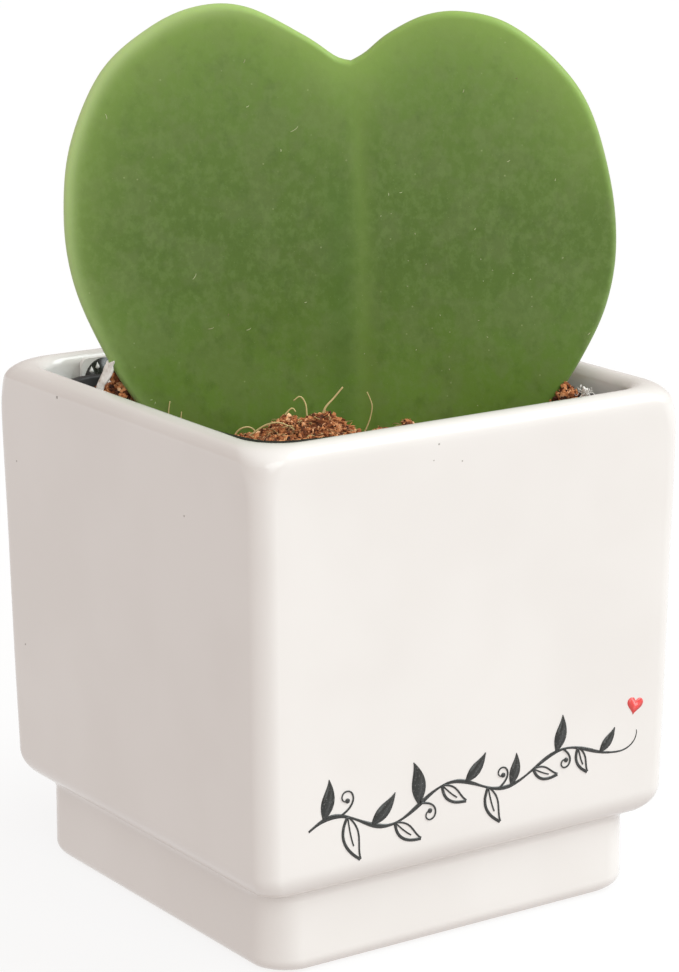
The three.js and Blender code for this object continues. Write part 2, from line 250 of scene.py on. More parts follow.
# The pale margin, partly the leaf's own and partly a painted highlight, its thin line along the edge, and
# how far the painted light along the left and top edges reaches in
MARGIN_WIDTH = 1.5
MARGIN_LINE_WIDTH = 0.5
PAINTED_EDGE_LIGHT_REACH = 4.6
STALK_RADIUS = 1.9
STALK = ((2.7, 0, 33), (1.7, 0, 42), (2.7, 0, 52), (2.7, 0, 58))

# Dry flecks on the leaf: across, height, length, angle in degrees, and tint from brown to pale
LEAF_FLECKS = (
    (-30.6, 109.4, 0.8, 95, 0.8),
    (-11.9, 117.0, 0.6, 55, 0.6),
    (-11.6, 111.0, 0.5, 20, 1.0),
    (-5.6, 107.6, 1.4, 25, 0.9),
    (-6.9, 104.9, 0.4, 80, 1.0),
    (17.9, 112.9, 0.5, 60, 0.6),
    (25.1, 114.8, 0.25, 0, 0.0),
    (28.0, 110.3, 0.25, 30, 0.1),
    (24.0, 103.4, 0.5, 20, 0.8),
    (30.6, 100.7, 0.4, 70, 0.8),
    (9.3, 99.2, 0.4, 0, 1.0),
    (7.8, 98.8, 0.4, 80, 0.9),
    (19.6, 94.0, 0.35, 45, 0.9),
    (-19.2, 87.2, 1.0, 48, 1.0),
    (-3.8, 83.9, 0.35, 10, 1.0),
    (-17.2, 80.2, 0.9, 5, 0.5),
    (-14.4, 82.1, 0.3, 60, 0.1),
    (-11.9, 80.0, 0.8, 15, 0.8),
    (-25.4, 70.1, 0.35, 0, 1.0),
    (-24.8, 69.5, 0.4, 60, 1.0),
    (35.4, 79.2, 0.5, 30, 0.7),
)

# Small pale flecks, by their places. Their lengths, angles and tints follow a pattern
SMALL_FLECKS = (
    (8.1, 96.3), (6.7, 95.9), (11.5, 93.4), (10.6, 89.7), (12.9, 89.2), (20.5, 89.8), (22.2, 88.3),
    (25.1, 87.9), (27.3, 87.0), (20.9, 86.8), (10.5, 86.1), (31.7, 90.0), (27.6, 83.2), (15.0, 82.0),
    (20.4, 81.3), (13.8, 80.2), (16.3, 79.6), (21.6, 78.9), (4.4, 76.6), (11.6, 77.1), (16.3, 74.3),
    (20.3, 69.2),
)

# Plant label
LABEL_WIDTH = 22.0
LABEL_HEIGHT = 52.5
LABEL_THICKNESS = 0.7
LABEL_LEFT = -23.0
LABEL_TOP = 72.9
LABEL_CORNER = 1.0
LABEL_POINT = 9.0
MARK_PLACE = (3.45, -3.25)
MARK_RADIUS = 3.1

# The two drops in the mark: the tip of each from the middle, and half the width at each share of the length
DROP_TIPS = ((-1.95, 2.1), (-0.95, 2.6))
DROP_LENGTH = 1.05
DROP_HALVES = ((0, 0), (0.2, 0.09), (0.45, 0.22), (0.7, 0.33), (0.88, 0.26), (1, 0))

LEAF_ACROSS = np.array([math.cos(LEAF_YAW), math.sin(LEAF_YAW), 0.0])
LEAF_FACING = np.array([math.sin(LEAF_YAW), -math.cos(LEAF_YAW), 0.0])
PLUG_TURN = np.array(Matrix.Rotation(PLUG_TILT, 3, Vector((-1, 1, 0)).normalized()))


# Shared geometry

# Whole numbers that scatter the corners of the noise's cells
SCATTER = (73856093, 19349663, 83492791, 97531)
FIRST_MIX = 2246822519
SECOND_MIX = 3266489917
LOW_BITS = 0xFFFFFFFF


def value_noise(points, cell, seed):
    """Smooth noise from -1 to 1 at each point, about one bump to a cell."""
    place = np.asarray(points, float) / cell
    low = np.floor(place).astype(np.int64)
    part = place - low
    ease = part * part * (3 - 2 * part)
    total = np.zeros(place.shape[:-1])
    for corner in itertools.product((0, 1), repeat=3):
        spot = (low + np.array(corner)) * SCATTER[:3]
        mixed = (spot[..., 0] ^ spot[..., 1] ^ spot[..., 2] ^ seed * SCATTER[3]) & LOW_BITS
        mixed = (mixed ^ mixed >> 15) * FIRST_MIX & LOW_BITS
        mixed = (mixed ^ mixed >> 13) * SECOND_MIX & LOW_BITS
        mixed = mixed ^ mixed >> 16
        weight = np.prod(np.where(corner, ease, 1 - ease), axis=-1)
        total += weight * (mixed / (LOW_BITS >> 1) - 1)
    return total


def layered_noise(points, layers):
    """The sum of layers of noise, each with its height, cell and seed."""
    return sum(height * value_noise(points, cell, seed) for height, cell, seed in layers)


def ramp(value, low, high):
    """Zero up to low, one from high on, and straight between them."""
    return np.clip((value - low) / (high - low), 0, 1)


def smooth_step(value, low, high):
    share = ramp(value, low, high)
    return share * share * (3 - 2 * share)


def bell(value, width):
    return np.exp(-(value / width) ** 2)


def arc(across, height, radius, start, end, pieces=10):
    """Places on an arc about a centre, with the angles in degrees."""
    angles = np.radians(np.linspace(start, end, pieces + 1))
    return [(across + radius * math.cos(a), height + radius * math.sin(a)) for a in angles]


def with_corners(places, corner):
    """A stretch of a profile: half widths and heights, with the same radius for all their corners."""
    return [(*place, corner) for place in places]


def step_rings(lower_half, upper_half, radii, upper_height, corners):
    """The S-shaped step from a narrow lower side to a wide upper side, from the bottom up."""
    lower_radius, upper_radius = radii
    across = upper_half - upper_radius - (lower_half + lower_radius)
    up = math.sqrt((lower_radius + upper_radius) ** 2 - across ** 2)
    lean = math.degrees(math.atan2(up, across))
    lower = arc(lower_half + lower_radius, upper_height - up, lower_radius, 180, lean)
    upper = arc(upper_half - upper_radius, upper_height, upper_radius, lean - 180, 0)
    return with_corners(lower, corners[0]) + with_corners(upper[1:], corners[1])


def refined(profile, longest):
    """The same profile with points added, so that no stretch is longer than that."""
    finer = [profile[0]]
    for before, after in zip(np.array(profile), np.array(profile)[1:]):
        pieces = max(1, math.ceil(math.hypot(*(after - before)[:2]) / longest))
        finer += [tuple(before + (after - before) * i / pieces) for i in range(1, pieces + 1)]
    return finer


def square_factors(arc_steps, side_steps):
    """For each column round a rounded square: the share of its inset and of its radius, in x and in y."""
    factors = []
    for quarter in range(4):
        turn = Matrix.Rotation(quarter * math.pi / 2, 2)
        for step in range(arc_steps + side_steps):
            angle = min(step / arc_steps, 1) * math.pi / 2
            along = max(step - arc_steps, 0) / side_steps
            inset = turn @ Vector((1 - 2 * along, 1))
            radius = turn @ Vector((math.cos(angle), math.sin(angle)))
            factors.append((*inset, *radius))
    return np.array(factors)


def square_turned(profile, arc_steps, side_steps):
    """A grid of points with a rounded square section at each profile point, as rows by columns by three."""
    half, height, corner = np.array(profile, float).T
    corner = np.minimum(corner, half)
    factors = square_factors(arc_steps, side_steps)
    inset = half - corner
    grid = np.zeros((len(profile), len(factors), 3))
    grid[:, :, 0] = np.outer(inset, factors[:, 0]) + np.outer(corner, factors[:, 2])
    grid[:, :, 1] = np.outer(inset, factors[:, 1]) + np.outer(corner, factors[:, 3])
    grid[:, :, 2] = height[:, None]
    return grid


def square_size(grid):
    """How far each point of a square grid is from its middle, measured square to its sides."""
    return np.abs(grid[:, :, :2]).max(axis=2)


def move_walls(grid, outward):
    """Moves the points of a square grid out from its middle by about that much."""
    grid[:, :, :2] *= (1 + outward / np.maximum(square_size(grid), 1))[:, :, None]


def grid_faces(grid, closed=False):
    """Faces over a grid whose columns go round. Rows that sit on one point become fans."""
    rows, columns = grid.shape[:2]
    index = np.arange(rows * columns).reshape(rows, columns)
    flat = np.ptp(grid, axis=1).max(axis=1) < 1e-6
    index[flat] = index[flat, :1]
    last = rows if closed else rows - 1
    faces = []
    for row in range(last):
        above = (row + 1) % rows
        for column in range(columns):
            beside = (column + 1) % columns
            corners = (index[row, column], index[row, beside], index[above, beside], index[above, column])
            face = list(dict.fromkeys(int(c) for c in corners))
            if len(face) > 2:
                faces.append(face)
    return faces


def without_strays(points, faces, values):
    """Leaves out the points that no face uses, and the values that belong to them."""
    used = np.unique(np.concatenate([np.array(face) for face in faces]))
    renumbered = np.full(len(points), -1)
    renumbered[used] = np.arange(len(used))
    kept = {name: np.ravel(value)[used] for name, value in values.items()}
    return points[used], [[int(renumbered[i]) for i in face] for face in faces], kept


def add_piece(name, points, faces, material, values=None, smooth=True):
    """A mesh piece that rides on the body, with a number per point for each named value."""
    points, faces, values = without_strays(np.asarray(points, float).reshape(-1, 3), faces, values or {})
    mesh = bpy.data.meshes.new(name)
    mesh.from_pydata((points * MM).tolist(), [], faces)
    mesh.polygons.foreach_set("use_smooth", [smooth] * len(mesh.polygons))
    for key, value in values.items():
        mesh.attributes.new(key, "FLOAT", "POINT").data.foreach_set("value", np.asarray(value, np.float32))
    mesh.materials.append(material)
    piece = bpy.data.objects.new(name, mesh)
    bpy.context.scene.collection.objects.link(piece)
    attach(piece, "root")
    return piece


def plug_to_pot(points):
    """Points of the tilted nursery pot's frame, in the whole object's frame."""
    return np.asarray(points, float).reshape(-1, 3) @ PLUG_TURN.T + np.array(PLUG_PLACE)


def leaf_to_pot(across, ahead, height):
    """Points given from the leaf's middle plane, in the whole object's frame."""
    across, ahead, height = np.broadcast_arrays(across, ahead, height)
    points = np.multiply.outer(across, LEAF_ACROSS) + np.multiply.outer(ahead + LEAF_FORWARD, LEAF_FACING)
    points[..., 2] += height
    return points


def spline(points, count):
    """Evenly spaced points on a smooth curve through the given ones."""
    points = np.asarray(points, float)
    padded = np.vstack([2 * points[0] - points[1], points, 2 * points[-1] - points[-2]])
    t = np.linspace(0, 1, 17)[:-1, None]
    fine = []
    for a, b, c, d in zip(padded, padded[1:], padded[2:], padded[3:]):
        bent = (2 * a - 5 * b + 4 * c - d) * t ** 2 + (3 * b - a - 3 * c + d) * t ** 3
        fine.append(b + 0.5 * ((c - a) * t + bent))
    fine = np.vstack(fine + [points[-1:]])
    length = np.concatenate([[0], np.cumsum(np.linalg.norm(np.diff(fine, axis=0), axis=1))])
    wanted = np.linspace(0, length[-1], count)
    return np.stack([np.interp(wanted, length, fine[:, k]) for k in range(points.shape[1])], axis=1)


def tube(route, radii, sides=6):
    """Points and faces of a closed tube along a route, with a radius at each of its points."""
    route = np.asarray(route, float)
    along = np.gradient(route, axis=0)
    along /= np.linalg.norm(along, axis=1)[:, None] + 1e-12
    side = np.cross(along[0], (0.3, 0.1, 0.95))
    points = []
    for place, direction, radius in zip(route, along, radii):
        side = side - direction * (side @ direction)
        side /= np.linalg.norm(side) + 1e-12
        other = np.cross(direction, side)
        for i in range(sides):
            angle = 2 * math.pi * i / sides
            points.append(place + radius * (math.cos(angle) * side + math.sin(angle) * other))
    faces = []
    for row in range(len(route) - 1):
        for i in range(sides):
            a = row * sides + i
            b = row * sides + (i + 1) % sides
            faces.append([a, b, b + sides, a + sides])
    faces.append(list(range(sides))[::-1])
    faces.append([(len(route) - 1) * sides + i for i in range(sides)])
    return np.array(points), faces


class Heap:
    """Many small closed meshes gathered into one, each with its own tint."""

    def __init__(self):
        self.points = []
        self.faces = []
        self.tints = []
        self.count = 0

    def add(self, points, faces, tint=0):
        self.points.append(points)
        self.faces.extend([i + self.count for i in face] for face in faces)
        self.tints.append(np.full(len(points), tint))
        self.count += len(points)

    def piece(self, name, material, slot, place=lambda points: points, smooth=True):
        points = place(np.vstack(self.points))
        tints = {"tint": np.concatenate(self.tints)}
        return add_piece(name, points, self.faces, material, tints, smooth)


def sideways(route):
    """Unit steps to the left of a flat route, at each of its points."""
    along = np.gradient(route, axis=0)
    return np.stack([-along[:, 1], along[:, 0]], axis=1) / np.linalg.norm(along, axis=1)[:, None]


def stroke(heap, route, widths, place, proud=PRINT_PROUD):
    """A closed painted line along a flat route, as wide as given at each of its points."""
    reach = sideways(route) * widths[:, None] / 2
    left = route + reach
    right = route - reach
    lines = [place(left, proud), place(right, proud), place(right, -PRINT_SUNK), place(left, -PRINT_SUNK)]
    count = len(route)
    faces = []
    for line, i in itertools.product(range(4), range(count - 1)):
        a = line * count + i
        b = (line + 1) % 4 * count + i
        faces.append([a, b, b + 1, a + 1])
    faces.append([line * count for line in (3, 2, 1, 0)])
    faces.append([(line + 1) * count - 1 for line in range(4)])
    heap.add(np.vstack(lines), faces)


def slab(front, back):
    """Points and faces of a closed slab between two outlines that run counter-clockwise."""
    count = len(front)
    faces = [list(range(count)), [count + i for i in range(count)][::-1]]
    faces += [[i, count + i, count + (i + 1) % count, (i + 1) % count] for i in range(count)]
    return np.vstack([front, back]), faces


def patch(heap, outline, place, proud=PRINT_PROUD):
    """A closed painted shape inside an outline that runs counter-clockwise."""
    heap.add(*slab(place(outline, proud), place(outline, -PRINT_SUNK)))


def curl(start, heading, length, turn, count=24):
    """A flat route that sets off in a direction and bends more and more."""
    share = np.linspace(0, 1, count)
    angles = heading + turn * share ** 2
    steps = np.stack([np.cos(angles), np.sin(angles)], axis=1) * length / (count - 1)
    return np.array(start) + np.vstack([[0, 0], np.cumsum(steps[:-1], axis=0)])


def disc(middle, radius, count=24):
    angles = np.arange(count) * 2 * math.pi / count
    return np.array(middle) + radius * np.stack([np.cos(angles), np.sin(angles)], axis=1)


def thin_sheet(grid, thickness):
    """Points and faces of a closed sheet over a grid of rows by columns by three."""
    normal = np.cross(np.gradient(grid, axis=0), np.gradient(grid, axis=1))
    normal /= np.linalg.norm(normal, axis=2)[:, :, None]
    rows, columns = grid.shape[:2]
    raised = normal * thickness / 2
    doubled = np.concatenate([grid + raised, (grid - raised)[:, ::-1]], axis=1)
    points = doubled.reshape(-1, 3)
    faces = [face[::-1] for face in grid_faces(doubled)]
    width = 2 * columns
    for column in range(columns - 1):
        faces.append([column, width - 1 - column, width - 2 - column, column + 1][::-1])
        low = (rows - 1) * width
        faces.append([low + column, low + width - 1 - column, low + width - 2 - column, low + column + 1])
    return points, faces


# Materials


def set_inputs(tree, node, values):
    """Joins each input of a node to a socket, or sets it to a value."""
    for key, value in values.items():
        if isinstance(value, bpy.types.NodeSocket):
            tree.links.new(value, node.inputs[key])
        else:
            node.inputs[key].default_value = value


def new_node(tree, kind, inputs, **settings):
    node = tree.nodes.new("ShaderNode" + kind)
    for key, value in settings.items():
        setattr(node, key, value)
    set_inputs(tree, node, inputs)
    return node


def new_material(name, look, *details):
    """A material whose shader takes the inputs that a look gives."""
    material = bpy.data.materials.new(name)
    material.use_nodes = True
    tree = material.node_tree
    set_inputs(tree, tree.nodes["Principled BSDF"], look(tree, *details))
    return material


def object_place(tree):
    return new_node(tree, "TexCoord", {}).outputs["Object"]


def height_of(tree):
    return new_node(tree, "SeparateXYZ", {0: object_place(tree)}).outputs["Z"]


def attribute(tree, name):
    return new_node(tree, "Attribute", {}, attribute_name=name).outputs["Fac"]


def calc(tree, operation, *values):
    return new_node(tree, "Math", dict(enumerate(values)), operation=operation).outputs["Value"]


def noise(tree, cell, detail=3.0, roughness=0.5, upright=1.0):
    """Noise with features of about that many millimetres, and that many times as tall as wide."""
    stretch = {0: object_place(tree), 1: (1, 1, 1 / upright)}
    place = new_node(tree, "VectorMath", stretch, operation="MULTIPLY").outputs[0]
    inputs = {"Vector": place, "Scale": 1 / (cell * MM), "Detail": detail, "Roughness": roughness}
    return new_node(tree, "TexNoise", inputs).outputs["Fac"]


def ramp_value(tree, value, low, high):
    """Zero at low, one at high, and smooth between them."""
    inputs = {"Value": value, "From Min": low, "From Max": high}
    return new_node(tree, "MapRange", inputs, interpolation_type="SMOOTHSTEP").outputs["Result"]


def specks(tree, cell, size):
    """One in the middle of scattered round spots, zero elsewhere. Cell and size are in millimetres."""
    inputs = {"Vector": object_place(tree), "Scale": 1 / (cell * MM)}
    away = new_node(tree, "TexVoronoi", inputs).outputs["Distance"]
    return ramp_value(tree, away, size / cell, 0.6 * size / cell)


def mix(tree, share, first, second):
    """A colour between two, by a share from 0 to 1."""
    colours = [c if isinstance(c, bpy.types.NodeSocket) else (*c, 1) for c in (first, second)]
    inputs = {"Factor": share, 6: colours[0], 7: colours[1]}
    return new_node(tree, "Mix", inputs, data_type="RGBA", clamp_factor=True).outputs[2]


def bump(tree, height, strength, depth):
    inputs = {"Height": height, "Strength": strength, "Distance": depth * MM}
    return new_node(tree, "Bump", inputs).outputs["Normal"]


def glaze_look(tree):
    """White glaze with a faint warm cloudiness, pinholes, thin edges and a bare foot ring."""
    cloudy = ramp_value(tree, noise(tree, 22, 2), 0.35, 0.65)
    colour = mix(tree, cloudy, (0.8, 0.782, 0.76), (0.825, 0.81, 0.79))
    colour = mix(tree, attribute(tree, "edge"), colour, (0.76, 0.72, 0.68))
    pinhole_patches = ramp_value(tree, noise(tree, 13, 1), 0.52, 0.6)
    pinholes = calc(tree, "MULTIPLY", specks(tree, 11, 0.1), pinhole_patches)
    colour = mix(tree, calc(tree, "MULTIPLY", pinholes, 0.5), colour, (0.4, 0.36, 0.32))
    bare = ramp_value(tree, height_of(tree), 0.0006, 0.0002)
    gloss = calc(tree, "MULTIPLY_ADD", noise(tree, 6, 3), 0.06, 0.14)
    orange_peel = calc(tree, "MULTIPLY_ADD", pinholes, -0.6, noise(tree, 4.5, 2))
    return {
        "Base Color": mix(tree, bare, colour, (0.66, 0.55, 0.44)),
        "Roughness": new_node(tree, "Mix", {"Factor": bare, 2: gloss, 3: 0.8}).outputs[0],
        "IOR": 1.52,
        "Coat Weight": 0.25,
        "Coat Roughness": 0.12,
        "Normal": bump(tree, orange_peel, 0.35, 0.05),
    }


def black_plastic_look(tree):
    """Thin black moulded plastic, dusty and scuffed."""
    dust = ramp_value(tree, noise(tree, 3, 5, 0.65), 0.5, 0.75)
    return {
        "Base Color": mix(tree, dust, (0.006, 0.006, 0.0065), (0.022, 0.018, 0.016)),
        "Roughness": calc(tree, "MULTIPLY_ADD", noise(tree, 1.6, 4), 0.3, 0.42),
        "Normal": bump(tree, noise(tree, 0.7, 4), 0.3, 0.08),
    }


def coir_look(tree):
    """Crumbled coconut fibre: red-brown pith and tan fibre by each crumb's tint, with dark gaps whose
    near-black tints are painted shade between the crumbs.
    """
    grain = calc(tree, "SUBTRACT", noise(tree, 0.5, 4, 0.6), 0.5)
    tone = calc(tree, "MULTIPLY_ADD", grain, 0.8, attribute(tree, "tint"))
    tones = new_node(tree, "ValToRGB", {"Fac": tone})
    stops = (
        # The near-black low end is painted shade for the gaps between crumbs
        (0.0, (0.015, 0.005, 0.003)),
        (0.25, (0.1, 0.03, 0.011)),
        (0.5, (0.36, 0.115, 0.038)),
        (0.75, (0.68, 0.28, 0.105)),
        (1.0, (0.92, 0.58, 0.33)),
    )
    while len(tones.color_ramp.elements) < len(stops):
        tones.color_ramp.elements.new(0.5)
    for element, (place, colour) in zip(tones.color_ramp.elements, stops):
        element.position = place
        element.color = (*colour, 1)
    return {
        "Base Color": tones.outputs["Color"],
        "Roughness": 0.92,
        "Normal": bump(tree, noise(tree, 0.35, 3), 0.8, 0.12),
    }


def fibre_look(tree):
    """Loose coconut fibre, tan to straw."""
    tone = calc(tree, "MULTIPLY_ADD", noise(tree, 1.2, 2), 0.2, attribute(tree, "tint"))
    return {
        "Base Color": mix(tree, tone, (0.3, 0.13, 0.05), (0.68, 0.56, 0.25)),
        "Roughness": 0.6,
        "Normal": bump(tree, noise(tree, 0.2, 2), 0.5, 0.03),
    }


def fleck_look(tree):
    """Dried sap and skin, brown to pale green."""
    tone = calc(tree, "MULTIPLY_ADD", noise(tree, 0.3, 2), 0.1, attribute(tree, "tint"))
    return {
        "Base Color": mix(tree, tone, (0.16, 0.08, 0.03), (0.5, 0.58, 0.3)),
        "Roughness": 0.5,
        "Normal": bump(tree, noise(tree, 0.1, 2), 0.3, 0.02),
    }


def paper_look(tree):
    """Damp torn paper, stained by the coir."""
    stain = ramp_value(tree, noise(tree, 1.6, 4, 0.6), 0.48, 0.75)
    return {
        "Base Color": mix(tree, stain, (0.93, 0.91, 0.88), (0.56, 0.49, 0.42)),
        "Roughness": 0.95,
        "Normal": bump(tree, noise(tree, 0.3, 4, 0.7), 0.8, 0.1),
    }


def leaf_look(tree):
    """A waxy succulent leaf: mottled green, lighter along its rib and towards its edge. Painted light makes
    it lighter at its foot and its top than in the middle, and along its left and upper edges, where its own
    pale margin also takes a painted highlight.
    """
    # Painted light: the foot, which the pot shades, and the top, lit from above, are lighter than the
    # middle
    painted_foot_light_fade = ramp_value(tree, height_of(tree), 0.068, 0.092)
    painted_top_light_rise = ramp_value(tree, height_of(tree), 0.09, 0.126)
    colour = mix(tree, painted_foot_light_fade, (0.14, 0.262, 0.034), (0.0915, 0.173, 0.0185))
    colour = mix(tree, painted_top_light_rise, colour, (0.148, 0.268, 0.039))
    greyer = ramp_value(tree, noise(tree, 5, 4, 0.6), 0.44, 0.6)
    mottle = ramp_value(tree, noise(tree, 1.3, 5, 0.65, 1.2), 0.42, 0.66)
    darker = ramp_value(tree, noise(tree, 2.4, 5, 0.65, 1.2), 0.48, 0.75)
    patches = ramp_value(tree, noise(tree, 5, 1), 0.45, 0.6)
    layers = (
        (greyer, 0.36, (0.155, 0.215, 0.069)),
        (mottle, 0.44, (0.168, 0.272, 0.065)),
        (darker, 0.42, (0.065, 0.132, 0.013)),
        (attribute(tree, "beside"), 0.4, (0.073, 0.17, 0.01)),
        (attribute(tree, "rib"), 0.6, (0.163, 0.28, 0.043)),
        # Painted light: a glow along the left and top edges, and a painted highlight over the pale margin
        # on the left and upper edge
        (attribute(tree, "painted_edge_light"), 0.85, (0.265, 0.43, 0.08)),
        (attribute(tree, "margin"), 0.9, (0.59, 0.78, 0.34)),
        (calc(tree, "MULTIPLY", specks(tree, 1.9, 0.15), patches), 0.4, (0.42, 0.5, 0.22)),
        (specks(tree, 0.9, 0.07), 0.25, (0.35, 0.45, 0.17)),
    )
    for share, weight, tone in layers:
        colour = mix(tree, calc(tree, "MULTIPLY", share, weight), colour, tone)
    relief = calc(tree, "MULTIPLY_ADD", noise(tree, 0.4, 2), 0.25, noise(tree, 1.8, 4, 0.55))
    return {
        "Base Color": colour,
        "Roughness": calc(tree, "MULTIPLY_ADD", noise(tree, 2.5, 3), 0.2, 0.42),
        "IOR": 1.42,
        "Subsurface Weight": 0.2,
        "Subsurface Radius": (0.4, 0.6, 0.1),
        "Subsurface Scale": 1.5 * MM,
        "Normal": bump(tree, relief, 0.35, 0.12),
    }


def plain_look(tree, colour, roughness):
    """A moulded or printed surface with a little unevenness in tone, gloss and height."""
    shade = tuple(0.86 * c for c in colour)
    return {
        "Base Color": mix(tree, noise(tree, 3, 3), shade, colour),
        "Roughness": calc(tree, "MULTIPLY_ADD", noise(tree, 1.2, 3), 0.12, roughness),
        "Normal": bump(tree, noise(tree, 0.6, 2), 0.2, 0.03),
    }


def print_look(tree, colour):
    """Fired ceramic paint, thin in fine speckles where the glaze shows through a little."""
    thin = ramp_value(tree, noise(tree, 0.22, 3, 0.6), 0.58, 0.72)
    lighter = tuple(0.3 + 0.5 * c for c in colour)
    return {
        "Base Color": mix(tree, calc(tree, "MULTIPLY", thin, 0.45), colour, lighter),
        "Roughness": 0.25,
        "Normal": bump(tree, noise(tree, 0.3, 2), 0.2, 0.02),
    }


# Ceramic pot


WALL_FOOT = BODY_BOTTOM + BODY_EDGE_RADIUS
WALL_TOP = POT_HEIGHT - LIP_RADIUS
WALL_SLOPE = POT_TAPER / (WALL_TOP - WALL_FOOT)


def wall_half(height):
    """Half width of the ceramic pot's outer wall at a height."""
    return POT_HALF - WALL_SLOPE * (WALL_TOP - height)


def outer_corner(height):
    """The corners of the outer wall grow rounder towards the rim."""
    return POT_CORNER + (RIM_CORNER - POT_CORNER) * ramp(height, RIM_CORNER_START, POT_HEIGHT) ** 2


def upper_wall():
    heights = np.linspace(RIM_CORNER_START, WALL_TOP, 5)[:-1]
    lip = arc(POT_HALF - LIP_RADIUS, WALL_TOP, LIP_RADIUS, 0, 90)
    places = [(wall_half(z), z) for z in heights] + lip
    return [(half, z, outer_corner(z)) for half, z in places]


def cavity():
    inner_half = POT_HALF - WALL
    inner_lip = WALL - LIP_RADIUS
    floor_edge = CAVITY_FLOOR_HALF - CAVITY_FILLET
    fillet_top = CAVITY_FLOOR + CAVITY_FILLET
    radii = (CAVITY_STEP_RADIUS, inner_lip)
    corners = (CAVITY_CORNER, CAVITY_CORNER)
    step = step_rings(CAVITY_FLOOR_HALF, inner_half - POT_TAPER, radii, CAVITY_SHOULDER, corners)
    lip = arc(inner_half + inner_lip, POT_HEIGHT - inner_lip, inner_lip, 90, 180)[1:]
    floor = [*arc(floor_edge, fillet_top, CAVITY_FILLET, 0, -90), (0, CAVITY_FLOOR)]
    return with_corners(lip, RIM_CORNER) + step[::-1] + with_corners(floor, CAVITY_CORNER)


def pot_profile():
    base_half = POT_HALF - POT_TAPER
    foot_half = base_half - FOOT_INSET
    ring_half = foot_half - FOOT_RING_WIDTH
    hollow = [
        (0, FOOT_RING_HEIGHT),
        (ring_half - FOOT_RING_HEIGHT, FOOT_RING_HEIGHT),
        (ring_half - 0.2, 0.1),
        (ring_half, 0),
    ]
    edge = arc(foot_half - FOOT_EDGE_RADIUS, FOOT_EDGE_RADIUS, FOOT_EDGE_RADIUS, -90, 0)
    foot = with_corners(hollow, CAVITY_CORNER) + with_corners(edge, FOOT_CORNER)
    radii = (FOOT_FILLET_RADIUS, BODY_EDGE_RADIUS)
    step = step_rings(foot_half, base_half, radii, WALL_FOOT, (FOOT_CORNER, POT_CORNER))
    return foot + step + upper_wall() + cavity()


def glaze_wave(points):
    """How far the glazed surface stands back from the even one at each point."""
    return sum(height for height, _, _ in GLAZE_WAVES) + layered_noise(points, GLAZE_WAVES)


def make_ceramic_pot():
    """The glazed pot. Its waves fade out towards the middle and the foot, and its lip is thinly glazed."""
    grid = square_turned(refined(pot_profile(), POT_MESH_STEP), *POT_COLUMNS)
    wave = glaze_wave(grid)
    move_walls(grid, -wave * ramp(square_size(grid), 20, 25) * ramp(grid[:, :, 2], 1, 3))
    grid[:, :, 2] -= wave * ramp(grid[:, :, 2], WALL_TOP, WALL_TOP + 2)
    lip = {"edge": 0.3 * bell(grid[:, :, 2] - POT_HEIGHT, 0.7)}
    material = new_material("white_glaze", glaze_look)
    piece = add_piece("glazed_pot", grid, grid_faces(grid), material, lip)
    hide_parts("ceramic_pot")


def on_wall_face(flat, proud, quarter=0):
    """Points given across and up a face, that far off its glaze: 0 is the face along -Y, 1 along -X."""
    turn = np.array(Matrix.Rotation(-quarter * math.pi / 2, 3, "Z"))
    even = np.stack([flat[:, 0], -wall_half(flat[:, 1]), flat[:, 1]], axis=1) @ turn.T
    return even + np.outer(proud - glaze_wave(even), turn @ (0, -1, 0))


def sprig_stem(share):
    swing = SPRIG_SWING * (1 - 0.3 * share) * np.sin(2 * math.pi * SPRIG_WAVES * share + 0.4)
    x = SPRIG_START[0] + SPRIG_RUN * share
    return np.stack([x, SPRIG_START[1] + SPRIG_RISE * share + swing], axis=-1)


def stem_at(share):
    """The stem's place and heading at a share of its run."""
    place, after = sprig_stem(np.array([share, share + 0.01]))
    return place, math.atan2(*(after - place)[::-1])


def leaf_widths(count, widest):
    """Widths of a painted leaf from its stalk to its tip."""
    share = np.linspace(0, 1, count)
    return 0.12 + widest * np.sin(math.pi * share ** 0.8) ** 1.2


def paint_leaf(heap, start, heading, length, is_filled, proud):
    """A brushed leaf, either solid or as two fine lines with a vein."""
    middle = curl(start, heading, length, 0.5)
    widths = leaf_widths(len(middle), 0.34 * length)
    if is_filled:
        stroke(heap, middle, widths, on_wall_face, proud)
        return
    bulge = widths[:, None] / 2 * sideways(middle)
    line = np.full(len(middle), SPRIG_LINE)
    stroke(heap, middle + bulge, line, on_wall_face, proud)
    stroke(heap, middle - bulge, 1.6 * line, on_wall_face, proud + 0.004)
    stroke(heap, middle[:16], 0.8 * line[:16], on_wall_face, proud + 0.008)


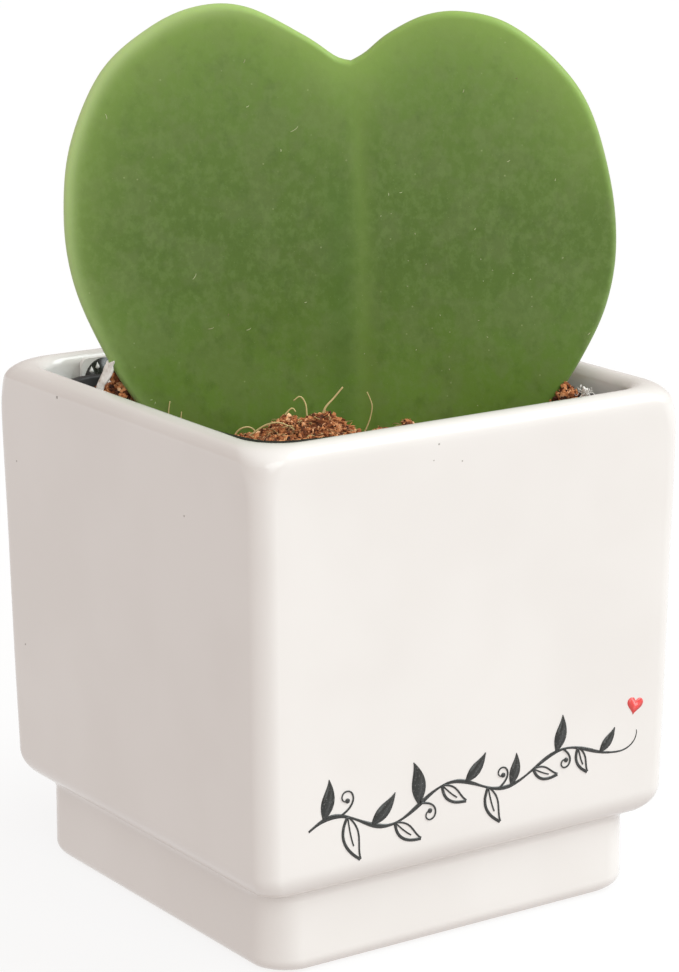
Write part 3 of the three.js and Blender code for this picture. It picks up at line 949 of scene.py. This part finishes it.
def make_sprig(material):
    """A brushed sprig of leaves, tendrils and berries along the lower edge of the face."""
    heap = Heap()
    shares = np.linspace(0, 1, 120)
    stem = sprig_stem(shares)
    stem_widths = 0.32 + 0.4 * np.sin(7 * math.pi * shares) ** 2 * (1 - 0.5 * shares)
    stroke(heap, stem, stem_widths, on_wall_face)
    for i in range(SPRIG_LEAVES):
        share = (i + 0.6) / SPRIG_LEAVES
        place, heading = stem_at(share)
        heading += SPRIG_LEAF_TURN * (-1) ** i
        length = SPRIG_LEAF_LENGTH * (1 - 0.3 * share) * (1.1 if i % 3 == 1 else 0.9)
        paint_leaf(heap, place, heading, length, i % 2 == 0, PRINT_PROUD + 0.01 + 0.002 * i)
    for i, share in enumerate(TENDRIL_SHARES):
        place, heading = stem_at(share)
        side = -1 if i % 2 else 1
        route = curl(place, heading + side * 0.7, TENDRIL_LENGTH - 2 * share, side * TENDRIL_TURN, 60)
        proud = PRINT_PROUD + 0.05 + 0.004 * i
        stroke(heap, route, np.linspace(0.3, 0.16, len(route)), on_wall_face, proud)
        patch(heap, disc(route[-1], BERRY_RADIUS), on_wall_face, PRINT_PROUD + 0.07)
    tip = curl(stem[-1], -0.15, 6.5, 2.0)
    stroke(heap, tip, np.linspace(0.3, 0.12, len(tip)), on_wall_face, PRINT_PROUD + 0.004)
    heap.piece("glaze_sprig", material, "print_black")


def make_heart(material):
    """The red heart, from the usual heart formula, 32 units wide."""
    angles = np.linspace(0, 2 * math.pi, 48, endpoint=False)
    x = 16 * np.sin(angles) ** 3
    y = 13 * np.cos(angles) - 5 * np.cos(2 * angles) - 2 * np.cos(3 * angles) - np.cos(4 * angles)
    lean = np.array(Matrix.Rotation(math.radians(-12), 2))
    outline = np.array(HEART_PLACE) + np.stack([x, y], axis=1)[::-1] @ lean.T * HEART_WIDTH / 32
    heap = Heap()
    patch(heap, outline, on_wall_face)
    heap.piece("glaze_heart", material, "print_red")


def make_glaze_spots(material):
    """Tiny specks of iron under the glaze."""
    heap = Heap()
    for quarter, across, height, radius in GLAZE_SPOTS:
        patch(heap, disc((across, height), radius, 12), partial(on_wall_face, quarter=quarter), 0.02)
    heap.piece("glaze_specks", material, "white_glaze")


# Nursery pot


def nursery_side(height):
    return NURSERY_BASE_HALF + (NURSERY_TOP_HALF - NURSERY_BASE_HALF) * height / NURSERY_HEIGHT


def nursery_profile():
    """From the middle under the floor, out and up the side, over the rim and back down to the floor."""
    rim_foot = NURSERY_HEIGHT - NURSERY_RIM_DROP
    foot_inner = NURSERY_BASE_HALF - NURSERY_FOOT_RING
    raised = NURSERY_FLOOR - NURSERY_WALL
    lip = NURSERY_WALL / 2
    outside = [
        (0, raised),
        (foot_inner - raised, raised),
        (foot_inner, 0),
        *arc(NURSERY_BASE_HALF - NURSERY_WALL, NURSERY_WALL, NURSERY_WALL, -90, 0, 4),
        (nursery_side(rim_foot - 0.4), rim_foot - 0.4),
        (NURSERY_RIM_HALF - 0.1, rim_foot + 0.5),
        (NURSERY_RIM_HALF, rim_foot + 0.9),
        *arc(NURSERY_RIM_HALF - lip, NURSERY_HEIGHT - lip, lip, 0, 90, 5),
    ]
    inside = [
        *arc(NURSERY_TOP_HALF - 0.1, NURSERY_HEIGHT - lip, lip, 90, 180, 5),
        (nursery_side(rim_foot) - NURSERY_WALL, rim_foot),
        (nursery_side(NURSERY_FLOOR) - NURSERY_WALL, NURSERY_FLOOR),
        (0, NURSERY_FLOOR),
    ]
    return with_corners(outside, NURSERY_CORNER) + with_corners(inside, NURSERY_CORNER - NURSERY_WALL)


def make_nursery_pot():
    """The thin black pot, bowed a little and with its rim bent, standing tilted in the ceramic one."""
    grid = square_turned(refined(nursery_profile(), NURSERY_MESH_STEP), *NURSERY_COLUMNS)
    is_side = square_size(grid) > NURSERY_BASE_HALF - 2
    move_walls(grid, layered_noise(grid, NURSERY_BOW) * ramp(grid[:, :, 2], 0, 20) * is_side)
    upper = smooth_step(grid[:, :, 2], 40, NURSERY_HEIGHT)
    for place, rise, reach in NURSERY_BENDS:
        away = np.linalg.norm(grid[:, :, :2] - place, axis=2)
        grid[:, :, 2] += rise * upper * bell(away, reach)
    material = new_material("black_plastic", black_plastic_look)
    piece = add_piece("nursery_pot_shell", plug_to_pot(grid), grid_faces(grid), material)
    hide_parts("nursery_pot")
    cut_drains(piece)


def cut_drains(piece):
    """Cuts the four drain holes through the nursery pot's floor."""
    for x, y in itertools.product((-1, 1), repeat=2):
        depth = 4 * NURSERY_FLOOR * MM
        bpy.ops.mesh.primitive_cylinder_add(vertices=32, radius=DRAIN_RADIUS * MM, depth=depth)
        cutter = bpy.context.object
        place = Matrix(PLUG_TURN.tolist()).to_4x4()
        place.translation = Vector(plug_to_pot((x * DRAIN_REACH, y * DRAIN_REACH, 0))[0] * MM)
        cutter.matrix_world = place
        hole = piece.modifiers.new("drain", "BOOLEAN")
        hole.operation = "DIFFERENCE"
        hole.object = cutter
        bpy.context.view_layer.objects.active = piece
        bpy.ops.object.modifier_apply(modifier=hole.name)
        bpy.data.objects.remove(cutter)


# Coir, sleeve and loose fibres


def ahead_of_leaf(x, y):
    return x * LEAF_FACING[0] + y * LEAF_FACING[1] - LEAF_FORWARD


def beside_leaf(x, y):
    return x * LEAF_ACROSS[0] + y * LEAF_ACROSS[1]


def soil_level(x, y):
    """Height of the coir's surface in the nursery pot's frame, before its crumbs."""
    ahead = ahead_of_leaf(x, y)
    front = SOIL_FRONT + SOIL_FRONT_RISE * np.maximum(ahead, 0)
    level = SOIL_BACK + (front - SOIL_BACK) * smooth_step(ahead, -3, 3)
    for mound_x, mound_y, height, spread in MOUNDS:
        away = (x - mound_x) ** 2 + (y - mound_y) ** 2
        level = level + height * np.exp(-away / (2 * spread ** 2))
    return level


def coir_side(height):
    return nursery_side(height) - NURSERY_WALL - 2 * CLEARANCE - SLEEVE_THICKNESS


def lumpy_level(x, y):
    """The coir's surface with its clods, grains and the furrow that the leaf stands in."""
    flat = np.stack([x, y, np.zeros_like(x)], axis=-1)
    level = soil_level(x, y) + layered_noise(flat, BED_BUMPS) + np.abs(layered_noise(flat, BED_CLODS))
    beside = np.abs(beside_leaf(x, y) - FURROW_MIDDLE)
    furrow = np.exp(-(ahead_of_leaf(x, y) / FURROW_HALF) ** 4) * smooth_step(FURROW_END - beside, 0, 3)
    return level - FURROW_DEPTH * furrow


def surface_at(x, y):
    """The lumpy surface's height at one place."""
    return lumpy_level(np.array([x]), np.array([y]))[0]


def make_coir(material):
    """The coir's body, with rings of points that close in over its lumpy top."""
    foot = NURSERY_FLOOR + CLEARANCE
    sides = [(0, foot, COIR_CORNER), (coir_side(foot), foot, COIR_CORNER)]
    top = [(share * coir_side(SOIL_BACK), 0, COIR_CORNER) for share in np.linspace(1, 0, BED_RINGS + 1)]
    grid = square_turned(sides + top, *BED_COLUMNS)
    bed = grid[len(sides):]
    bed[:, :, 2] = lumpy_level(bed[:, :, 0], bed[:, :, 1])
    # Painted shade: the bed is darker where it lies below its even level, in dips and in the furrow, and
    # lighter on its bumps
    low = grid[:, :, 2] - soil_level(grid[:, :, 0], grid[:, :, 1])
    tints = {"tint": BED_TINT + BED_PAINTED_SHADE_RISE * low + layered_noise(grid, BED_TINTS)}
    piece = add_piece("coir_bed", plug_to_pot(grid), grid_faces(grid), material, tints)
    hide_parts("coir")


def ball(rings_up, columns):
    """A unit ball with its faces, as a grid from pole to pole."""
    grid = np.zeros((rings_up + 1, columns, 3))
    for row, column in itertools.product(range(rings_up + 1), range(columns)):
        tip = math.pi * row / rings_up - math.pi / 2
        turn = 2 * math.pi * column / columns
        reach = 0 if row in (0, rings_up) else math.cos(tip)
        grid[row, column] = (reach * math.cos(turn), reach * math.sin(turn), math.sin(tip))
    return grid.reshape(-1, 3), grid_faces(grid)


def is_clear(x, y, margin):
    """Whether a bit of that size stays off the leaf and inside the sleeve."""
    straight = coir_side(SOIL_BACK) - margin - COIR_CORNER
    over = math.hypot(max(abs(x) - straight, 0), max(abs(y) - straight, 0))
    is_ahead = abs(ahead_of_leaf(x, y)) > LEAF_THICKNESS / 2 + margin
    is_beside = abs(beside_leaf(x, y) - FURROW_MIDDLE) > LEAF_FOOT_HALF + margin
    return over < COIR_CORNER and (is_ahead or is_beside)


def random_turn(draw):
    """A matrix that turns a small piece in any direction."""
    first, second, third = draw.uniform(0, 2 * math.pi, 3)
    turn = Matrix.Rotation(first, 3, "X") @ Matrix.Rotation(second, 3, "Y") @ Matrix.Rotation(third, 3, "Z")
    return np.array(turn)


def coir_spot(draw, on_mound):
    """A random place on the coir, either anywhere or about one of its mounds."""
    if on_mound:
        mound_x, mound_y, _, spread = MOUNDS[draw.integers(len(MOUNDS) - 1)]
        return draw.normal((mound_x, mound_y), 1.2 * spread)
    half = coir_side(SOIL_BACK)
    return draw.uniform(-half, half, 2)


def add_crumb(heap, draw, place, size):
    """An angular crumb: a coarse ball, stretched, dented and turned at random."""
    unit, faces = ball(3, 5)
    stretch = draw.uniform(0.45, 1.8, 3)
    lumps = 1 + 0.55 * value_noise(unit * 1.4 + draw.uniform(0, 50, 3), 1, 41)
    points = (unit * lumps[:, None] * stretch * size) @ random_turn(draw).T
    tint = CRUMB_BASE_TINT + CRUMB_TINT_RANGE * draw.random()
    paler = PALE_CRUMB * (draw.random() < PALE_CRUMB_SHARE)
    heap.add(points + np.array(place), faces, tint + paler)


def make_crumbs(material):
    """Angular crumbs of pith over the whole surface, finer and thicker on the mounds."""
    draw = np.random.default_rng(7)
    heap = Heap()
    while len(heap.points) < CRUMBS:
        x, y = coir_spot(draw, draw.random() < 0.4)
        size = 0.1 + 0.28 * draw.random() ** 2
        if is_clear(x, y, 1.3 * size):
            level = surface_at(x, y)
            add_crumb(heap, draw, (x, y, level + draw.uniform(0, 1.2) * size), size)
    heap.piece("coir_crumbs", material, "coir", plug_to_pot, smooth=False)


def make_spilled_crumbs(material):
    """Crumbs heaped on the plug's edge, where they hide its rim."""
    draw = np.random.default_rng(37)
    heap = Heap()
    for middle, spread, foot, rise, count in SPILLS:
        for _ in range(count):
            off = draw.normal(0, 1, 2)
            x, y = np.array(middle) + off * spread
            crest = foot + rise * math.exp(-0.3 * (off @ off))
            size = draw.uniform(0.15, 0.42)
            add_crumb(heap, draw, (x, y, crest - draw.uniform(0, 2.2) ** 1.4), size)
    heap.piece("spilled_crumbs", material, "coir", plug_to_pot, smooth=False)


def make_pith_strands(material):
    """Short crooked strands of coir husk, lying every way."""
    draw = np.random.default_rng(23)
    heap = Heap()
    shares = np.linspace(-0.5, 0.5, 5)[:, None]
    while len(heap.points) < PITH_STRANDS:
        x, y = coir_spot(draw, draw.random() < 0.5)
        length = draw.uniform(0.6, 2.0)
        if not is_clear(x, y, 0.6 * length):
            continue
        turn = draw.uniform(0, 2 * math.pi)
        direction = np.array([math.cos(turn), math.sin(turn), draw.uniform(-0.1, 0.55)])
        bends = draw.normal(0, 0.1 * length, (5, 3)) * (0.5 - np.abs(shares))
        middle = np.array([x, y, surface_at(x, y) + 0.15])
        route = middle + direction * shares * length + 2 * bends
        radii = draw.uniform(0.04, 0.11) * np.array([0.5, 1, 1.1, 0.9, 0.4])
        heap.add(*tube(route, radii, 4), 0.3 + 0.6 * draw.random())
    heap.piece("pith_strands", material, "coir", plug_to_pot)


def fibre_route(draw, x, y, run, rise):
    """A fibre that starts in the coir, bends over and comes down again, in the nursery pot's frame."""
    turn = draw.uniform(0, 2 * math.pi)
    bend = draw.uniform(-1.2, 1.2)
    shares = np.array([0, 0.25, 0.55, 0.8, 1.0])
    lifts = np.array([-0.6, 0.7, 1.0, 0.8, draw.uniform(-0.1, 0.7)]) * rise
    turns = turn + bend * shares
    steps = np.stack([run * shares * np.cos(turns), run * shares * np.sin(turns), lifts], axis=1)
    return np.array([x, y, soil_level(x, y)]) + steps


def make_fibres(material):
    """Loose fibres: short ones all over, and a few long ones behind the leaf."""
    draw = np.random.default_rng(19)
    heap = Heap()
    while len(heap.points) < FIBRES:
        x, y = coir_spot(draw, draw.random() < 0.3)
        is_long = ahead_of_leaf(x, y) < -3 and draw.random() < 0.15
        runs, rises, radii = LONG_FIBRE if is_long else SHORT_FIBRE
        run = draw.uniform(*runs)
        route = fibre_route(draw, x, y, run, draw.uniform(*rises))
        if all(is_clear(px, py, 0.4) for px, py, _ in route):
            thinning = 1 - 0.5 * np.linspace(0, 1, 10) ** 2
            radius = draw.uniform(*radii)
            heap.add(*tube(spline(route, 10), radius * thinning, 4), 0.1 + 0.6 * draw.random())
    heap.piece("coir_fibres", material, "coir", plug_to_pot)


# Fibres that stand out in front of the leaf: the radius, the tint, and a route whose points lie across,
# ahead of the leaf's middle plane, and up
STANDING_FIBRES = (
    (0.13, 0.8, ((-13.6, 10, 66.6), (-12.9, 10, 67.7), (-12, 10, 68.2), (-11, 10, 68.1), (-10, 10, 67))),
    (0.13, 0.9, ((-6.2, 14, 68.2), (-6.6, 14, 70.2), (-5.9, 14, 71.4), (-5.3, 14, 71.8), (-4.9, 14, 71.3))),
    (0.12, 0.9, ((-3.3, 13, 68.6), (-3.4, 13, 70.9), (-3.6, 13, 72.3), (-4.3, 13, 73.2), (-5.2, 13, 72.6))),
    (0.16, 0.7, ((-1.5, 14, 69.8), (-0.9, 13.6, 71.7), (0.3, 13, 73.0), (1.5, 12.6, 74.4))),
    (0.1, 0.8, ((4.0, 9, 66.2), (5.1, 9, 68.8), (5.5, 9, 70.8), (5.2, 9, 72.0), (4.8, 9, 72.9))),
    (0.13, 0.7, ((-10.9, 17, 68.8), (-9, 17, 70.1), (-7.2, 17, 70.5), (-5.6, 17, 69.9), (-4.6, 17, 69))),
    (0.1, 1.0, ((-22.7, 2.1, 66.6), (-22.8, 2.1, 68.6), (-22.6, 2.1, 70.1))),
    (0.1, 1.0, ((-21.1, 2.1, 66.2), (-21.1, 2.1, 67.6), (-21.0, 2.1, 68.6))),
)


def make_standing_fibres(material):
    heap = Heap()
    for thick, tint, route in STANDING_FIBRES:
        smooth = spline([leaf_to_pot(*place) for place in route], 20)
        heap.add(*tube(smooth, thick * np.linspace(1.1, 0.7, 20), 6), tint)
    heap.piece("standing_fibres", material, "coir")


def make_sleeve(material):
    """The torn paper round the coir, with a ragged upper edge."""
    heights = np.linspace(NURSERY_FLOOR + CLEARANCE, SLEEVE_TOP, 26)
    outer = [(nursery_side(h) - NURSERY_WALL - CLEARANCE, h, SLEEVE_CORNER) for h in heights]
    inner = [(half - SLEEVE_THICKNESS, h, corner - SLEEVE_THICKNESS) for half, h, corner in outer[::-1]]
    grid = square_turned(outer + inner, *SLEEVE_COLUMNS)
    share = ramp(grid[:, :, 2], TORN_START, SLEEVE_TOP)
    sunk = SLEEVE_FRONT_DROP * smooth_step(ahead_of_leaf(grid[:, :, 0], grid[:, :, 1]), -6, 6)
    grid[:, :, 2] += share * (layered_noise(grid * (1, 1, 0), SLEEVE_TEARS) - sunk)
    grid[:, :, :2] *= (1 - SLEEVE_PINCH * share * (1 + value_noise(grid, 1.5, 53)))[:, :, None]
    faces = grid_faces(grid, closed=True)
    piece = add_piece("torn_sleeve", plug_to_pot(grid), faces, material)
    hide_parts("plug_sleeve")


def make_flaps(material):
    """Two tongues of the sleeve that stand up past its torn edge."""
    shares = np.linspace(-1, 1, FLAP_COLUMNS)
    rise = np.linspace(0, 1, FLAP_ROWS)[:, None]
    for name, route in FLAPS.items():
        middle = spline([place for *place, _ in route], FLAP_ROWS)
        halves = spline(list(enumerate(half for *_, half in route)), FLAP_ROWS)[:, 1]
        grid = np.repeat(middle[:, None], FLAP_COLUMNS, axis=1)
        grid[:, :, 1] += np.outer(halves, shares)
        grid[:, :, 0] += layered_noise(grid, FLAP_CRUMPLES) + 0.25 * shares ** 2
        grid[:, :, 2] += layered_noise(grid * (0, 1, 0), FLAP_TEARS) * rise ** 3
        grid[:, :, 1] += layered_noise(grid * (0, 0, 1) + 9, FLAP_FRAYS) * shares ** 3
        points, faces = thin_sheet(grid, FLAP_THICKNESS)
        add_piece(name, points, faces, material)


def make_fuzz(material):
    """Curled threads of paper along the torn edges."""
    draw = np.random.default_rng(31)
    heap = Heap()
    for _ in range(TUFT_THREADS):
        length = draw.uniform(0.4, 1.3)
        start = np.array(TUFT_PLACE) + np.clip(draw.normal(0, 1, 3), -1.6, 1.6) * TUFT_SPREAD
        turn = random_turn(draw)
        flat = curl((0, 0), draw.uniform(0, 2 * math.pi), length, draw.uniform(1, 4), 9)
        route = start + np.pad(flat, ((0, 0), (0, 1))) @ turn.T
        heap.add(*tube(route, np.full(9, draw.uniform(0.03, 0.06)), 4))
    heap.piece("sleeve_fuzz", material, "paper_sleeve")


# Leaf


def leaf_edge(count):
    """The heart's edge from the notch round the right side to the stalk and back up the left side."""
    right = (
        LEAF_NOTCH, (4.6, 118.3), (7.8, 120.9), (12.7, 123.3), (18.0, 123.8), (24.2, 122.1), (30.8, 117.0),
        (35.4, 110.5), (38.4, 100.5), (39.3, 91.4), (38.2, 83.7), (35.4, 76.9), (30.9, 69.5), (23.5, 60.5),
        (13.0, 52.0), LEAF_BASE,
    )
    left = (
        LEAF_BASE, (-9.0, 52.5), (-20.0, 61.0), (-27.9, 70.0), (-32.9, 78.8), (-36.0, 87.0), (-37.0, 95.7),
        (-35.9, 105.7), (-31.5, 115.7), (-24.8, 121.7), (-18.2, 124.6), (-11.5, 124.5), (-3.6, 120.6),
        (0.6, 117.8), LEAF_NOTCH,
    )
    return np.vstack([spline(right, count)[:-1], spline(left, count)[:-1]])


def leaf_rows():
    """How far out each row of the blade lies: from the front's middle to the edge, and back behind it."""
    inner = np.linspace(0, 1 - LEAF_OUTER, 26)
    outer = 1 - LEAF_OUTER * np.cos(np.linspace(0.15, math.pi / 2, 12)) ** 1.4
    front = np.concatenate([inner, outer])
    return np.concatenate([front, front[-2::-1]])


def make_leaf():
    """The blade and its stalk in one skin, thick in the middle and round at the edge."""
    spokes = LEAF_KEPT * (leaf_edge(LEAF_EDGE_POINTS) - LEAF_MIDDLE)
    reach = leaf_rows()[:, None]
    is_front = np.arange(len(reach)) < len(reach) // 2 + 1
    facing = np.where(is_front, 1, -1)[:, None]
    across = LEAF_MIDDLE[0] + reach * spokes[:, 0]
    height = LEAF_MIDDLE[1] + reach * spokes[:, 1]
    inside = smooth_step(1 - reach, 0, LEAF_FADE)

    dome = np.sqrt(1 - ramp(reach, 1 - LEAF_RIM, 1) ** 2) * (1 - LEAF_THINNING * reach ** 2.5)
    dome = dome * np.where(facing > 0, 1, -LEAF_BACK_SHARE) * LEAF_THICKNESS / 2
    rib_line = LEAF_NOTCH[0] + RIB_SHIFT * (1 - np.exp((height - LEAF_NOTCH[1]) / RIB_RUN))
    rib = bell(across - rib_line, RIB_WIDTH) * inside * smooth_step(LEAF_NOTCH[1] - 1 - height, 0, 9)
    groove = np.where(facing > 0, RIB_FRONT_GROOVE, RIB_BACK_GROOVE) * rib
    noise_place = np.where(facing > 0, 0, BACK_NOISE_PLACE)
    flat = np.stack(np.broadcast_arrays(across, height, noise_place), axis=2)
    ahead = dome + layered_noise(flat, LEAF_SWELLS) * inside * facing - groove

    below = smooth_step(LEAF_NOTCH[1] - 10 - height, 0, 12) * inside
    tones = leaf_tones(spokes, reach)
    tones["rib"] = rib
    tones["beside"] = bell(across - rib_line + DARK_BAND_SHIFT, DARK_BAND_WIDTH) * below

    skin = Heap()
    grid = leaf_to_pot(across, ahead, height)
    skin.add(grid.reshape(-1, 3), [face[::-1] for face in grid_faces(grid)])
    stalk = leaf_to_pot(*spline(STALK, 16).T)
    skin.add(*tube(stalk, np.linspace(STALK_RADIUS, 0.6 * STALK_RADIUS, 16), 16))
    stalk_count = len(skin.points[-1])
    tones = {name: np.pad(np.ravel(tone), (0, stalk_count)) for name, tone in tones.items()}
    material = new_material("leaf", leaf_look)
    piece = add_piece("leaf_blade", np.vstack(skin.points), skin.faces, material, tones)
    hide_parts("hoya_leaf")
    make_flecks(np.stack([across, ahead, height], axis=2)[is_front].reshape(-1, 3))


def leaf_tones(spokes, reach):
    """How pale each point of the blade is by its margin, partly its own pale margin and partly a painted
    highlight on its left and upper edge, and how much painted light glows near the left and top edges.
    """
    span = np.linalg.norm(spokes, axis=1)
    outward = spokes / span[:, None]
    along = np.roll(spokes, -1, axis=0) - np.roll(spokes, 1, axis=0)
    along /= np.linalg.norm(along, axis=1)[:, None]
    squareness = np.abs(outward[:, 0] * along[:, 1] - outward[:, 1] * along[:, 0])
    from_edge = (1 - reach) * span * squareness
    # The left side and the top get more: painted light from the left and from above
    left = smooth_step(-outward[:, 0], 0.05, 0.8)
    up = smooth_step(outward[:, 1], -0.5, 0.6)
    right = smooth_step(outward[:, 0], 0.2, 0.8)
    top = smooth_step(outward[:, 1], 0.1, 0.8)
    margin = bell(from_edge, MARGIN_WIDTH) * left * (0.3 + 0.6 * up)
    thin_line = bell(from_edge, MARGIN_LINE_WIDTH) * (0.16 + 0.45 * left)
    side = np.maximum(left * (0.25 + 0.55 * up), 0.1 * right * (0.4 + 0.6 * up))
    painted_edge_light = np.exp(-(from_edge / PAINTED_EDGE_LIGHT_REACH) ** 1.2) * np.maximum(side, top)
    return {"margin": np.maximum(margin, thin_line), "painted_edge_light": painted_edge_light}


def small_fleck(i, place):
    """The small fleck of that number, as a row of LEAF_FLECKS."""
    return (*place, 0.15 + 0.05 * (i % 3), 50 * i % 180, 0.55 + 0.15 * (i % 2))


def make_flecks(front):
    """Dry flecks on the blade's face, each bedded in the skin under it."""
    heap = Heap()
    small = itertools.starmap(small_fleck, enumerate(SMALL_FLECKS))
    for across, height, length, angle, tint in (*LEAF_FLECKS, *small):
        flat = curl((across, height), math.radians(angle), length, 0.9, 7)
        nearest = [np.argmin(np.hypot(front[:, 0] - u, front[:, 2] - v)) for u, v in flat]
        route = leaf_to_pot(flat[:, 0], front[nearest, 1] + 0.01, flat[:, 1])
        heap.add(*tube(route, 0.055 * np.array([0.4, 0.9, 1, 1, 0.9, 0.7, 0.3]), 6), tint)
    heap.piece("leaf_flecks", new_material("fleck", fleck_look), "leaf")


# Plant label


def make_label(material, mark_material):
    """A tag with round upper corners and a pointed foot, and on it a dark mark with two pale drops."""
    outline = [(LABEL_WIDTH / 2, -LABEL_HEIGHT), (LABEL_WIDTH, LABEL_POINT - LABEL_HEIGHT)]
    for centre, start in ((LABEL_WIDTH - LABEL_CORNER, 0), (LABEL_CORNER, 90)):
        outline += arc(centre, -LABEL_CORNER, LABEL_CORNER, start, start + 90, 8)
    outline.append((0, LABEL_POINT - LABEL_HEIGHT))
    points, faces = slab(on_label(outline, 0), on_label(outline, -LABEL_THICKNESS))
    piece = add_piece("white_label", points, faces, material, smooth=False)
    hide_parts("plant_label")

    dark = Heap()
    patch(dark, disc(MARK_PLACE, MARK_RADIUS, 40), on_label)
    dark.piece("label_mark", mark_material, "print_black")
    light = Heap()
    shares, halves = spline(DROP_HALVES, 30).T
    half_outline = np.stack([-halves, -DROP_LENGTH * shares], axis=1)
    drop = np.vstack([half_outline, (half_outline * (-1, 1))[-2:0:-1]])
    for tip in DROP_TIPS:
        patch(light, drop + MARK_PLACE + tip, on_label, PRINT_PROUD + 0.03)
    light.piece("label_drops", material, "label_white")


def on_label(flat, proud):
    """Points given across the label and up from its top, that far off its front."""
    turn = np.array(Matrix.Rotation(-math.atan(WALL_SLOPE), 3, "X"))
    place = np.array([LABEL_LEFT, POT_HALF - WALL - CLEARANCE, LABEL_TOP])
    flat = np.asarray(flat, float)
    raised = np.full(len(flat), -LABEL_THICKNESS - proud)
    return np.stack([flat[:, 0], raised, flat[:, 1]], axis=1) @ turn.T + place


# Setting

# Each softbox: name, azimuth from -Y toward +X, elevation, strength, angle across, colour
SOFTBOXES = (
    ("side_softbox", 61, 40, 1.95, 40, (0.9, 0.985, 1.0)),
    ("front_softbox", -14, 32, 1.15, 50, (0.93, 1.0, 1.0)),
)
ROOM_COLOUR = (1, 0.885, 0.835, 1)
ROOM_STRENGTH = 0.62
FLOOR_SIZE = 8
FLOOR_INPUTS = {
    "Base Color": (0.15, 0.15, 0.15, 1),
    "Emission Color": (1, 1, 1, 1),
    "Emission Strength": 0.825,
    "Roughness": 0.9,
    "Specular IOR Level": 0.1,
}


def aimed(azimuth, elevation):
    """A turn that points the Z axis out that way, with the azimuth from -Y toward +X, in degrees."""
    around = Matrix.Rotation(math.radians(azimuth), 3, "Z")
    return around @ Matrix.Rotation(math.radians(90 - elevation), 3, "X")


def make_setting():
    """A pale lit floor in a dim warm room, with soft light from the side and the front."""
    bpy.ops.mesh.primitive_plane_add(size=FLOOR_SIZE)
    floor = bpy.context.object
    floor.name = "floor"
    floor.data.materials.append(new_material("floor", lambda tree: FLOOR_INPUTS))
    # The floor doesn't light the pot from below, which would leave the pot's inside too dark beside it
    floor.visible_diffuse = False

    world = bpy.data.worlds.new("studio")
    world.use_nodes = True
    room = {"Color": ROOM_COLOUR, "Strength": ROOM_STRENGTH}
    set_inputs(world.node_tree, world.node_tree.nodes["Background"], room)
    bpy.context.scene.world = world

    for name, azimuth, elevation, strength, across, colour in SOFTBOXES:
        light = bpy.data.lights.new(name, "SUN")
        light.energy = strength
        light.angle = math.radians(across)
        light.color = colour
        lamp = bpy.data.objects.new(name, light)
        lamp.rotation_euler = aimed(azimuth, elevation).to_euler()
        bpy.context.scene.collection.objects.link(lamp)
    bpy.context.scene.view_settings.view_transform = "Standard"


CAMERA_DISTANCE = 462.0
CAMERA_AZIMUTH = -34.1
CAMERA_ELEVATION = 14.26
CAMERA_ROLL = 0.2
CAMERA_LENS = 121.36
CAMERA_FRAME = 36
CAMERA_ASIDE = 0.94
CAMERA_AIM_HEIGHT = 57.09


def make_camera():
    """The camera, a little aside of the pot's axis and with a slight roll."""
    data = bpy.data.cameras.new("camera")
    data.sensor_fit = "VERTICAL"
    data.sensor_height = CAMERA_FRAME
    data.lens = CAMERA_LENS
    data.clip_start = 0.01
    facing = aimed(CAMERA_AZIMUTH, CAMERA_ELEVATION)
    place = Vector((0, 0, CAMERA_AIM_HEIGHT)) + facing @ Vector((CAMERA_ASIDE, 0, CAMERA_DISTANCE))
    rolled = facing @ Matrix.Rotation(-math.radians(CAMERA_ROLL), 3, "Z")
    camera = bpy.data.objects.new("camera", data)
    camera.matrix_world = Matrix.Translation(place * MM) @ rolled.to_4x4()
    bpy.context.scene.collection.objects.link(camera)
    bpy.context.scene.camera = camera


make_camera()
make_setting()
make_ceramic_pot()
make_nursery_pot()
coir = new_material("coir", coir_look)
fibre = new_material("fibre", fibre_look)
paper = new_material("paper_sleeve", paper_look)
label_white = new_material("label_white", plain_look, (0.96, 0.95, 0.93), 0.4)
iron_speck = new_material("glaze_speck", plain_look, (0.42, 0.4, 0.37), 0.3)
print_black = new_material("print_black", print_look, (0.02, 0.022, 0.02))
print_red = new_material("print_red", print_look, (0.8, 0.075, 0.07))
make_sprig(print_black)
make_heart(print_red)
make_glaze_spots(iron_speck)
make_coir(coir)
make_crumbs(coir)
make_spilled_crumbs(coir)
make_pith_strands(coir)
make_fibres(fibre)
make_standing_fibres(fibre)
make_sleeve(paper)
make_flaps(paper)
make_fuzz(paper)
make_leaf()
make_label(label_white, print_black)
